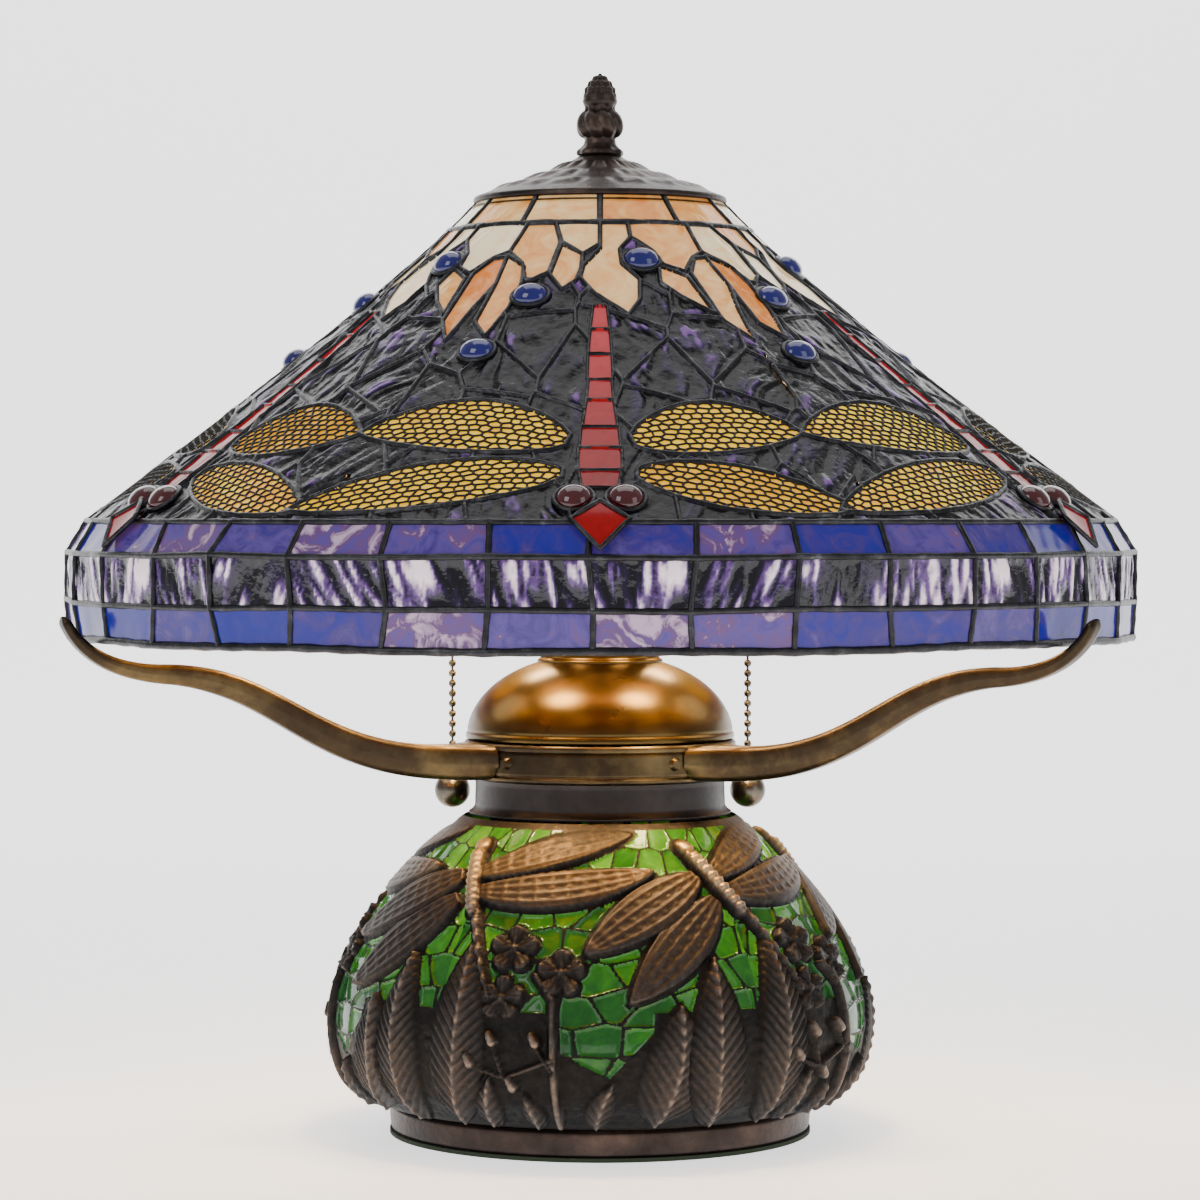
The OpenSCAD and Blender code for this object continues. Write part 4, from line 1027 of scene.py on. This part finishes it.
def base_relief(angle, along, radius, height):
    """Dragonflies over leaves, stems and blossoms."""
    art = Relief(angle, along, radius, height)
    for leaf in [(39, 14, 42, 84, 12.5, -2), (12, 15, 17, 60, 14.5, -3), (26, 13, 26, 76, 12.5, 2),
                 (-25, 13, -23, 34, 6, 1), (-14, 13, -16, 28, 5, -1), (-1, 13, 3, 33, 6, 2)]:
        art.leaf(*leaf)
    for stem in [(-9, 15, -10, 62, 2.2, 1.5), (-10, 40, -20, 33, 1.4, 1.2), (-20, 33, -27, 37, 1.2, 1.0),
                 (-20, 33, -22, 44, 1.2, 1.0), (-10, 36, -13, 44, 1.2, 1.0), (-10, 62, -14, 70, 1.5, 1.4)]:
        art.stem(*stem, 1.6)
    for a, z in [(-27, 38), (-22, 46), (-13, 46), (-18, 30)]:
        art.stem(a, z, a - 1, z + 3, 2.4, 1.8, 1.8)
    for blossom in [(-20, 79, 9.6), (-8.5, 71, 9.4), (-21, 62, 8.8)]:
        art.blossom(*blossom)
    art.wing(-36, 97, 17, 105, 7.6, -2)
    art.wing(-38, 103, 13, 118, 7.2, 3)
    art.wing(-40, 95, -66, 60, 8.6, -1)
    art.wing(-43, 103, -76, 77, 8.8, -2)
    art.stem(-33, 91, -24, 62, 2.2, 1.2, 1.6, 6.0)
    art.stem(-42, 110, -34, 91, 3.6, 2.8, 1.8, 3.0)
    art.stem(-43, 113, -42.5, 112, 3.9, 3.7, 2.0)
    return art


# How far along an arm its root follows the band's curve
SADDLE = 12

# Each repeat's window below the dragonflies, as (degrees, height) corners
LOW_WINDOW = [(-9, 56), (-10, 44), (2, 33), (11, 50), (12, 62), (-6, 62)]


def build_base():
    """The cast base with its relief, and the green mosaic in its windows."""
    line, along = belly_line()
    cols = 181
    angle, run = np.meshgrid(np.linspace(-REPEAT / 2, REPEAT / 2, cols), along)
    radius = np.broadcast_to(line[:, :1], angle.shape)
    height = np.broadcast_to(line[:, 1:], angle.shape)
    art = base_relief(angle, run, radius, height)
    rng = np.random.default_rng(3)
    x, y = angle * math.pi / 180 * 85, run
    seeds = np.array([(i * 13 + 6 * (j % 2) + rng.uniform(-3, 3), j * 12 + rng.uniform(-3, 3))
                      for i in range(-5, 6) for j in range(13)])
    dx, dy = x[..., None] - seeds[:, 0], y[..., None] - seeds[:, 1]
    reach = np.hypot(dx * 0.75 + dy * 0.3, dy * 1.15 - dx * 0.25)
    cell = np.argmin(reach, -1)
    reach = np.sort(reach, -1)
    seam = (reach[..., 1] - reach[..., 0]) / 2 - 0.38
    window = inside_distance(angle, height, np.array(LOW_WINDOW)) * 1.5
    zone = np.maximum(np.minimum(height - 57, 119 - height), window)
    glass = np.minimum(np.minimum(-art.cover - 1.1, zone), seam)
    frame_line = np.minimum(-art.cover - 1.1, zone)
    u, v, glass = snapped(angle, run, glass)
    ground = 0.35 * noise(x, y, 2.6, 17, 2) * (frame_line < 0)
    rise = art.rise + np.where(art.cover > 0, 0, ground + 0.2)
    rise = np.where((frame_line > 0) & (glass <= 0), 0.1, rise)
    rise = np.where(glass > 0, -0.7 * np.clip(glass / 0.5, 0, 1) + 0.05 * noise(x, y, 4, 9), rise)
    edge = np.clip((119.5 - height) / 12, 0, 1) * np.clip((height - 13) / 2, 0, 1)
    rise = (rise - bpy.context.scene.lamp_sizes.relief_drop / MM) * edge
    r = np.interp(v, along, line[:, 0])
    z = np.interp(v, along, line[:, 1])
    ahead = np.gradient(line, axis=0)
    ahead /= np.linalg.norm(ahead, axis=1)[:, None]
    nr, nz = np.interp(v, along, ahead[:, 1]), np.interp(v, along, -ahead[:, 0])
    faces = grid_faces(*angle.shape)
    middle = glass.ravel()[faces].mean(1)
    tones = rng.uniform(0, 0.75, len(seeds))
    # Painted light: the mosaic's panes are made paler towards the top of the base, where light falls from
    # above
    bright = np.clip((z - 50) / 70, 0, 1)
    for k in range(REPEATS):
        a = FRONT + np.radians(u + REPEAT * k)
        radial = r + nr * rise
        verts = np.stack([radial * np.cos(a), radial * np.sin(a), z + nz * rise], -1).reshape(-1, 3)
        cast = add_mesh(f"cast_relief_{k + 1}", verts, faces[middle <= 0], MATERIALS["bronze"], "base",
                        rise=np.clip(rise / 4.6 + 0.2, 0, 1))
        panes = add_mesh(f"mosaic_panes_{k + 1}", verts, faces[middle > 0], MATERIALS["mosaic"], "base",
                         tone=np.clip(tones[cell] * 0.6 + 0.55 * bright, 0, 1))
        if k == 0:
            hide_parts("base_casting")
            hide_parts("mosaic_glass")


def turned_piece(name, profile, turns, step, sharp, finish, node):
    """A turned or spun piece of the base that stands for a node of the frame."""
    verts, faces = lathe(profile, turns, step)
    piece = add_mesh(name, verts, faces, MATERIALS[finish], "base", sharp=sharp)
    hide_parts(node)


def build_foot():
    """The turned foot under the base, with soft edges."""
    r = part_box("foot_ring")[1][0] / MM
    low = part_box("foot_ring")[0][2] / MM
    profile = [(r - 11, low), (r - 2.2, low), (r - 1.4, low + 0.5), (r - 0.9, low + 1.6),
               (r - 0.4, FOOT_H - 3), (r - 0.5, FOOT_H - 1.6), (r - 1.6, FOOT_H - 0.2), (r - 4, FOOT_H),
               (r - 14, FOOT_H)]
    turned_piece("turned_foot", profile, 256, 0.5, 50, "dark", "foot_ring")


def build_neck():
    """The collar, the band with its steps, and the spun dome with its neck."""
    r, z, b, t = BAND_R, CASTING_TOP, BAND_Z, BAND_TOP
    collar = [(r - 1.6, z + 0.1), (r - 1.2, z + 0.9), (r - 2.6, z + 1.9), (r - 3.6, z + 3.2),
              (r - 3.9, b - 2), (r - 3.5, b - 0.4), (r - 9, b - 0.1)]
    turned_piece("neck_collar_shell", collar, 192, 0.5, 45, "collar", "neck_collar")
    band = [(r - 9, b), (r - 0.8, b), (r + 0.2, b + 0.5), (r + 0.4, b + 1.5), (r - 0.5, b + 2.1),
            (r - 0.6, b + 2.6), (r - 0.1, b + 3), (r - 0.4, t - 3.8), (r - 0.7, t - 3.4), (r + 0.3, t - 2.6),
            (r + 0.5, t - 1.2), (r - 0.3, t - 0.2), (r - 4, t)]
    turned_piece("stepped_band", band, 256, 0.4, 50, "arm", "arm_band")
    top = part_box("dome")[1][2] / MM
    crown = top - 9.7
    neck = 22.5
    shell = [(r - 1.2, t + 0.1), (r - 0.2, t + 0.8), (r - 0.2, t + 2.4), (r - 1.1, t + 3.2), (r - 0.7, t + 4)]
    shell += [((r - 0.5) * math.cos(a) ** 0.92, t + 1 + (crown - t + 1.2) * math.sin(a))
              for a in np.radians(np.linspace(7, 64, 40))]
    shell += [(neck + 1.6, crown - 0.1), (neck, crown + 1), (neck, top - 4), (neck + 1, top - 3.2),
              (neck + 1, top - 1.6), (neck - 0.4, top - 0.6), (neck - 1.4, top), (6, top)]
    turned_piece("spun_dome", shell, 256, 0.6, 60, "spun", "dome")


def build_arms():
    """Three cast arms, each an S that ends in a curled tip, with a saddle at its root."""
    root = np.array([BAND_R + 0.2, BAND_MID])
    knee = np.array([EDGE_R - 31, EDGE_Z - 12.9])
    tip = np.array([EDGE_R + 10.5, EDGE_Z + 8.5])
    run = knee[0] - root[0]
    sag = (root[0] + 0.55 * run, BAND_MID - 2.6)
    climb = (root[0] + 0.62 * run, knee[1] - 3.8)
    one = bezier(root, sag, climb, knee, 40)
    two = bezier(knee, knee + [18, 0.6], (EDGE_R + 4, EDGE_Z - 7.2), tip, 26)[1:]
    line, along = resampled(np.concatenate([one, two]), 1.2)
    ahead = np.gradient(line, axis=0)
    ahead /= np.linalg.norm(ahead, axis=1)[:, None]
    normal = np.stack([-ahead[:, 1], ahead[:, 0]], 1)
    t = along / along[-1]
    half = np.where(t < 0.62, 6.9 - 3.9 * t, 4.5 - 7.4 * (t - 0.62))
    width = 4.3 - 0.6 * t + 11.5 * np.exp(-(along / 9.0) ** 1.6) * (t < 0.3)
    half[-2:] *= [0.8, 0.35]
    width[-2:] *= [0.85, 0.5]
    sides = 32
    corners = np.arange(sides) * 2 * math.pi / sides
    cs, sn = np.cos(corners), np.sin(corners)
    square = (abs(cs) ** 5 + abs(sn) ** 5) ** (-1 / 5)
    px, py = cs * square, sn * square
    step = 1 - 0.10 * ((py < -0.3) & (abs(px) > 0.5))
    out = line[:, None, :] + normal[:, None, :] * (py[None, :, None] * half[:, None, None])
    side = px * step * width[:, None]
    bow = np.minimum(abs(side), BAND_R * 0.9)
    curve = np.where(along < SADDLE, np.sqrt(np.maximum(BAND_R ** 2 - bow.T ** 2, 0)) - BAND_R, 0).T
    r = out[..., 0] + curve * np.clip(1 - along / SADDLE, 0, 1)[:, None]
    for name, turn in (("left", 205), ("right", 325), ("rear", 85)):
        a = math.radians(turn)
        x = r * math.cos(a) - side * math.sin(a)
        y = r * math.sin(a) + side * math.cos(a)
        verts = np.stack([x, y, out[..., 1]], -1).reshape(-1, 3)
        faces = grid_faces(len(line), sides, True)
        piece = add_mesh(f"cast_arm_{name}", verts, faces, MATERIALS["arm"], "base", sharp=50)
        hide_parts(f"arm_{name}")


# ---- Pieces kept from the frame ----

# The frame's own nodes that stay visible, by their finish
KEPT = {
    "felt": ["felt_pad"],
    "plastic": ["cord_bushing"],
    "porcelain": ["night_light_socket", "left_socket_core", "right_socket_core"],
    "steel": ["base_plate", "rod_washer", "night_light_bracket", "night_light_base", "left_bulb_base",
              "right_bulb_base"],
    "brass": ["rod_nut", "dome_nut", "centre_rod", "riser_rod", "shade_spider", "left_socket_cap",
              "left_socket_shell", "left_screw_shell", "left_chain_guide", "right_socket_cap",
              "right_socket_shell", "right_screw_shell", "right_chain_guide"],
    "bulb": ["night_light_bulb", "left_bulb_glass", "right_bulb_glass"],
    "arm": ["arm_screws", "cluster_body", "cluster_lid"],
    "chain": ["left_chain_lead", "left_pull_chain", "left_pull_ball", "right_chain_lead", "right_pull_chain",
              "right_pull_ball"],
    "dark": ["shade_ring"],
}

# The visible pieces that stand for the shade's nodes, with each node's material slot
SHADE_SLOTS = {
    "cone_lead_1": ("cone_came", "lead"),
    "field_glass_1": ("field_glass", "field_glass"),
    "cream_glass_1": ("petal_glass", "cream_glass"),
    "cream_glass_2": ("crown_glass", "cream_glass"),
    "wing_glass_1": ("wing_glass", "wing_glass"),
    "red_glass_1": ("dragonfly_bodies", "red_glass"),
    "ruby_eyes": ("eye_jewels", "ruby_glass"),
    "blue_cabochons": ("blue_jewels", "cobalt_glass"),
    "border_upper_panes": ("border_up_glass", "border_glass"),
    "border_middle_panes": ("border_mid_glass", "ripple_glass"),
    "border_low_panes": ("border_low_glass", "border_glass"),
    "border_leads": ("border_came", "lead"),
}


def finish_kept():
    """Gives the nodes that still show their finish, and hides the shade's nodes that the built pieces stand
    in for.
    """
    for finish, nodes in KEPT.items():
        for node in nodes:
            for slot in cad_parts[node].material_slots:
                slot.material = MATERIALS[finish]
    for name, (node, slot) in SHADE_SLOTS.items():
        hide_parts(node)


# ---- Stage ----

def aim(thing, place, target):
    """Puts a light or camera at a place, looking at a target."""
    thing.location = place
    look = np.array(target) - np.array(place)
    tilt = math.atan2(math.hypot(look[0], look[1]), -look[2])
    thing.rotation_euler = (tilt, 0, math.atan2(look[1], look[0]) - math.pi / 2)
    bpy.context.scene.collection.objects.link(thing)


def panel_light(name, place, target, power, size):
    """A soft rectangular light."""
    data = bpy.data.lights.new(name, "AREA")
    data.energy = power
    data.shape = "RECTANGLE"
    data.size, data.size_y = size
    aim(bpy.data.objects.new(name, data), place, target)


def bulb_light(name, place, power):
    """The warm light of one of the lamp's own bulbs."""
    data = bpy.data.lights.new(name, "POINT")
    data.energy = power
    data.color = linear("#ffd8a0")[:3]
    data.shadow_soft_size = 0.02
    aim(bpy.data.objects.new(name, data), place, (0, 0, 0))


def build_floor():
    """A pale floor that curves up behind."""
    sweep = [tuple(p) for p in bezier((1.4, 0), (2.4, 0), (2.9, 0.4), (2.9, 1.4), 16)]
    line = [(-1.6, 0), (1.4, 0)] + sweep + [(2.9, 3.0)]
    verts = [(x, y, z) for y, z in line for x in (-4, 4)]
    faces = [(2 * k, 2 * k + 1, 2 * k + 3, 2 * k + 2) for k in range(len(line) - 1)]
    mesh = bpy.data.meshes.new("floor")
    mesh.from_pydata(verts, [], faces)
    for face in mesh.polygons:
        face.use_smooth = True
    floor = bpy.data.objects.new("floor", mesh)
    bpy.context.scene.collection.objects.link(floor)
    material, _, _ = start("pale_floor", Roughness=0.7, Base_Color=linear("#f8f8f8"), Specular_IOR_Level=0.1,
                           Emission_Color=linear("#ffffff"), Emission_Strength=1.25)
    mesh.materials.append(material)


def build_stage():
    """The floor, a white world, soft lights, the lamp's own warm light and the camera."""
    scene = bpy.context.scene
    build_floor()
    world = bpy.data.worlds.new("studio")
    world.use_nodes = True
    background = world.node_tree.nodes["Background"]
    background.inputs["Color"].default_value = linear("#ffffff")
    background.inputs["Strength"].default_value = 0.5
    scene.world = world
    panel_light("key", (-1.3, -1.5, 1.3), (0, 0, 0.2), 13, (0.9, 1.2))
    panel_light("fill", (1.5, -1.2, 0.8), (0, 0, 0.2), 7, (0.9, 1.4))
    panel_light("top", (0, 0.3, 1.8), (0, 0, 0.2), 8, (1.4, 1.0))
    panel_light("floor_wash", (0, 2.0, 2.2), (0, 2.4, 0.6), 25, (3.0, 1.0))
    for side in (-1, 1):
        bulb_light(f"bulb_light_{side + 2}", (side * 0.05, -0.05, 0.262), 1.6)
        bulb_light(f"bulb_light_rear_{side + 2}", (side * 0.05, 0.06, 0.262), 1.2)
    camera = bpy.data.cameras.new("camera")
    camera.lens = 120
    camera.sensor_width = 36
    eye = bpy.data.objects.new("camera", camera)
    aim(eye, (0, -1.53, 0.237), (0, 0, 0.203))
    scene.camera = eye


# ---- Add-on ----

class LampSizes(bpy.types.PropertyGroup):
    """Sizes of the lamp's visible work that the frame doesn't hold."""
    cone_hollow: bpy.props.FloatProperty(
        name="Cone hollow", description="How far the shade's cone sags in at its middle",
        default=3.6 * MM, min=0.0, max=8 * MM, precision=4, unit="LENGTH")
    lead_height: bpy.props.FloatProperty(
        name="Lead height", description="How far the leads of the cone stand off the glass",
        default=0.95 * MM, min=0.2 * MM, max=2 * MM, precision=5, unit="LENGTH")
    jewel_height: bpy.props.FloatProperty(
        name="Jewel height", description="How far the blue cabochons stand off the glass",
        default=4.2 * MM, min=1 * MM, max=7 * MM, precision=4, unit="LENGTH")
    eye_radius: bpy.props.FloatProperty(
        name="Eye radius", description="Radius of the dragonflies' ruby eyes",
        default=6.2 * MM, min=3 * MM, max=7 * MM, precision=4, unit="LENGTH")
    net_wire: bpy.props.FloatProperty(
        name="Net wire", description="Half the width of the wire in the filigree over the wings",
        default=0.36 * MM, min=0.1 * MM, max=0.6 * MM, precision=5, unit="LENGTH")
    relief_drop: bpy.props.FloatProperty(
        name="Relief drop", description="How far the relief's ground lies inside the base's outline",
        default=1.8 * MM, min=0.0, max=3 * MM, precision=4, unit="LENGTH")


class LampColours(bpy.types.PropertyGroup):
    """How the lamp's finishes look. Each is a run of sRGB hex colours, from its darkest places on."""
    glow: bpy.props.FloatProperty(
        name="Glow", description="How brightly the glass is lit from inside",
        default=1.0, min=0.0, max=4.0, subtype="FACTOR")
    lead: bpy.props.StringProperty(
        name="Leads", description="Blackened solder, to its worn highlights",
        default="#1c1c1e #37373a #6c6c70")
    cream: bpy.props.StringProperty(
        name="Cream glass", description="Amber, peach, and two creams of the crown and petals",
        default="#d87828 #e8a050 #f2c684 #fbe8c0")
    # The top of the field's ramp is a painted highlight on the ripples' crests
    field: bpy.props.StringProperty(
        name="Field glass", description="Indigo glass, from deep water to violet crests",
        default="#020104 #080510 #1d0f34 #6c4688")
    wing: bpy.props.StringProperty(
        name="Wing glass", description="Amber glass, from ochre to orange",
        default="#d09008 #e8b818 #f0cc30 #e89c28")
    red: bpy.props.StringProperty(
        name="Red glass", description="The dragonflies' bodies, from dark to bright",
        default="#700206 #8c040a #a81620")
    ruby: bpy.props.StringProperty(
        name="Ruby eyes", description="The eyes' dark and light red", default="#240006 #52020c")
    cobalt: bpy.props.StringProperty(
        name="Blue jewels", description="The jewels' dark and light blue", default="#02043c #080d78")
    border: bpy.props.StringProperty(
        name="Border glass", description="Blue, indigo, two violets, plum and lavender",
        default="#0a1478 #201c78 #38286c #4c3c80 #5a3c66 #a890aa")
    # The white end of this ramp is a painted highlight on the ripples' crests
    ripple: bpy.props.StringProperty(
        name="Rippled border glass", description="The border's middle row, from near black to white crests",
        default="#06040c #1e1230 #5c4078 #ecd8e4")
    # The upper greens are painted light: the panes are paler towards the top of the base
    mosaic: bpy.props.StringProperty(
        name="Mosaic glass", description="Greens of the base, from the foot up to the light",
        default="#0a3014 #164c18 #2b6e16 #5ea42a")
    net: bpy.props.StringProperty(
        name="Filigree", description="Blackened brass of the wings' net", default="#0c0a06 #241a0a")
    relief_hollow: bpy.props.StringProperty(
        name="Relief, low on the base", description="Patina from the hollows to the high edges",
        default="#0b0a0a #1f1c1b #3f3834 #7a6c60")
    # Painted highlight: the gold that the relief turns to high on the base, under the lamp's light
    relief_lamplit: bpy.props.StringProperty(
        name="Relief, near the light", description="Gilt patina from the hollows to the high edges",
        default="#17110c #3a3020 #8c703c #e6c47c")
    dark: bpy.props.StringProperty(
        name="Dark castings", description="Cap, finial, top ring and foot", default="#1e1816 #3a302c #5e4c44")
    collar: bpy.props.StringProperty(
        name="Collar", description="Lacquer of the neck collar", default="#1c1919 #35302f")
    arm: bpy.props.StringProperty(
        name="Arms and band", description="Antiqued brass, to its rubbed gold",
        default="#211b15 #3d3326 #70603f")
    spun: bpy.props.StringProperty(
        name="Dome", description="Spun brass of the dome", default="#4a3b22 #584726 #6c5830")
    brass: bpy.props.StringProperty(
        name="Lamp brass", description="Sockets, rods and nuts", default="#8a6a30 #b89048")
    steel: bpy.props.StringProperty(
        name="Plated steel", description="Plate, washer, bracket and bulb bases", default="#8a8a8a #b4b4b4")
    chain: bpy.props.StringProperty(
        name="Chains", description="Aged brass of the pull chains", default="#3c3832 #7c766a")


class LAMP_OT_materials(bpy.types.Operator):
    """Make every finish of the lamp"""
    bl_idname = "lamp.materials"
    bl_label = "Materials"

    def execute(self, context):
        make_materials()
        return {"FINISHED"}


class LAMP_OT_stage(bpy.types.Operator):
    """Set up the floor, lights and camera"""
    bl_idname = "lamp.stage"
    bl_label = "Stage"

    def execute(self, context):
        build_stage()
        return {"FINISHED"}


class LAMP_OT_cone(bpy.types.Operator):
    """Add the glass and leads of the shade's cone"""
    bl_idname = "lamp.cone"
    bl_label = "Cone"

    def execute(self, context):
        build_cone()
        return {"FINISHED"}


class LAMP_OT_filigree(bpy.types.Operator):
    """Add the brass nets over the wings"""
    bl_idname = "lamp.filigree"
    bl_label = "Filigree"

    def execute(self, context):
        build_filigree()
        return {"FINISHED"}


class LAMP_OT_cabochons(bpy.types.Operator):
    """Add the blue jewels and the ruby eyes"""
    bl_idname = "lamp.cabochons"
    bl_label = "Cabochons"

    def execute(self, context):
        build_cabochons()
        return {"FINISHED"}


class LAMP_OT_border(bpy.types.Operator):
    """Add the border's three rows of panes and their leads"""
    bl_idname = "lamp.border"
    bl_label = "Border"

    def execute(self, context):
        build_border()
        return {"FINISHED"}


class LAMP_OT_heads(bpy.types.Operator):
    """Add the dragonflies' red heads"""
    bl_idname = "lamp.heads"
    bl_label = "Heads"

    def execute(self, context):
        build_heads()
        return {"FINISHED"}


class LAMP_OT_cap(bpy.types.Operator):
    """Add the pressed cap with its leaves"""
    bl_idname = "lamp.cap"
    bl_label = "Cap"

    def execute(self, context):
        build_cap()
        return {"FINISHED"}


class LAMP_OT_finial(bpy.types.Operator):
    """Add the cast finial"""
    bl_idname = "lamp.finial"
    bl_label = "Finial"

    def execute(self, context):
        build_finial()
        return {"FINISHED"}


class LAMP_OT_base(bpy.types.Operator):
    """Add the cast base and its mosaic"""
    bl_idname = "lamp.base"
    bl_label = "Base"

    def execute(self, context):
        build_base()
        return {"FINISHED"}


class LAMP_OT_foot(bpy.types.Operator):
    """Add the turned foot"""
    bl_idname = "lamp.foot"
    bl_label = "Foot"

    def execute(self, context):
        build_foot()
        return {"FINISHED"}


class LAMP_OT_neck(bpy.types.Operator):
    """Add the collar, the band and the spun dome"""
    bl_idname = "lamp.neck"
    bl_label = "Neck"

    def execute(self, context):
        build_neck()
        return {"FINISHED"}


class LAMP_OT_arms(bpy.types.Operator):
    """Add the three cast arms"""
    bl_idname = "lamp.arms"
    bl_label = "Arms"

    def execute(self, context):
        build_arms()
        return {"FINISHED"}


class LAMP_OT_kept(bpy.types.Operator):
    """Finish the pieces kept from the frame"""
    bl_idname = "lamp.kept"
    bl_label = "Kept pieces"

    def execute(self, context):
        finish_kept()
        return {"FINISHED"}


OPERATORS = [
    LAMP_OT_materials, LAMP_OT_stage, LAMP_OT_cone, LAMP_OT_filigree, LAMP_OT_cabochons, LAMP_OT_border,
    LAMP_OT_heads, LAMP_OT_cap, LAMP_OT_finial, LAMP_OT_base, LAMP_OT_foot, LAMP_OT_neck, LAMP_OT_arms,
    LAMP_OT_kept,
]


class LAMP_PT_panel(bpy.types.Panel):
    """Lists the lamp's sizes, colours and pieces in the sidebar."""
    bl_label = "Leaded Glass Lamp"
    bl_space_type = "VIEW_3D"
    bl_region_type = "UI"
    bl_category = "Lamp"

    def draw(self, context):
        for group in (context.scene.lamp_sizes, context.scene.lamp_colours):
            for name in group.__annotations__:
                self.layout.prop(group, name)
        for cls in OPERATORS:
            self.layout.operator(cls.bl_idname)


CLASSES = [LampSizes, LampColours, *OPERATORS, LAMP_PT_panel]


def register():
    """Adds the lamp's classes and its properties to the scene."""
    for cls in CLASSES:
        bpy.utils.register_class(cls)
    bpy.types.Scene.lamp_sizes = bpy.props.PointerProperty(type=LampSizes)
    bpy.types.Scene.lamp_colours = bpy.props.PointerProperty(type=LampColours)


def unregister():
    """Takes the properties and classes away again."""
    del bpy.types.Scene.lamp_colours
    del bpy.types.Scene.lamp_sizes
    for cls in reversed(CLASSES):
        bpy.utils.unregister_class(cls)


def main():
    """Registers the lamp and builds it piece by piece."""
    register()
    for cls in OPERATORS:
        family, name = cls.bl_idname.split(".")
        getattr(getattr(bpy.ops, family), name)()


if __name__ == "__main__":
    main()
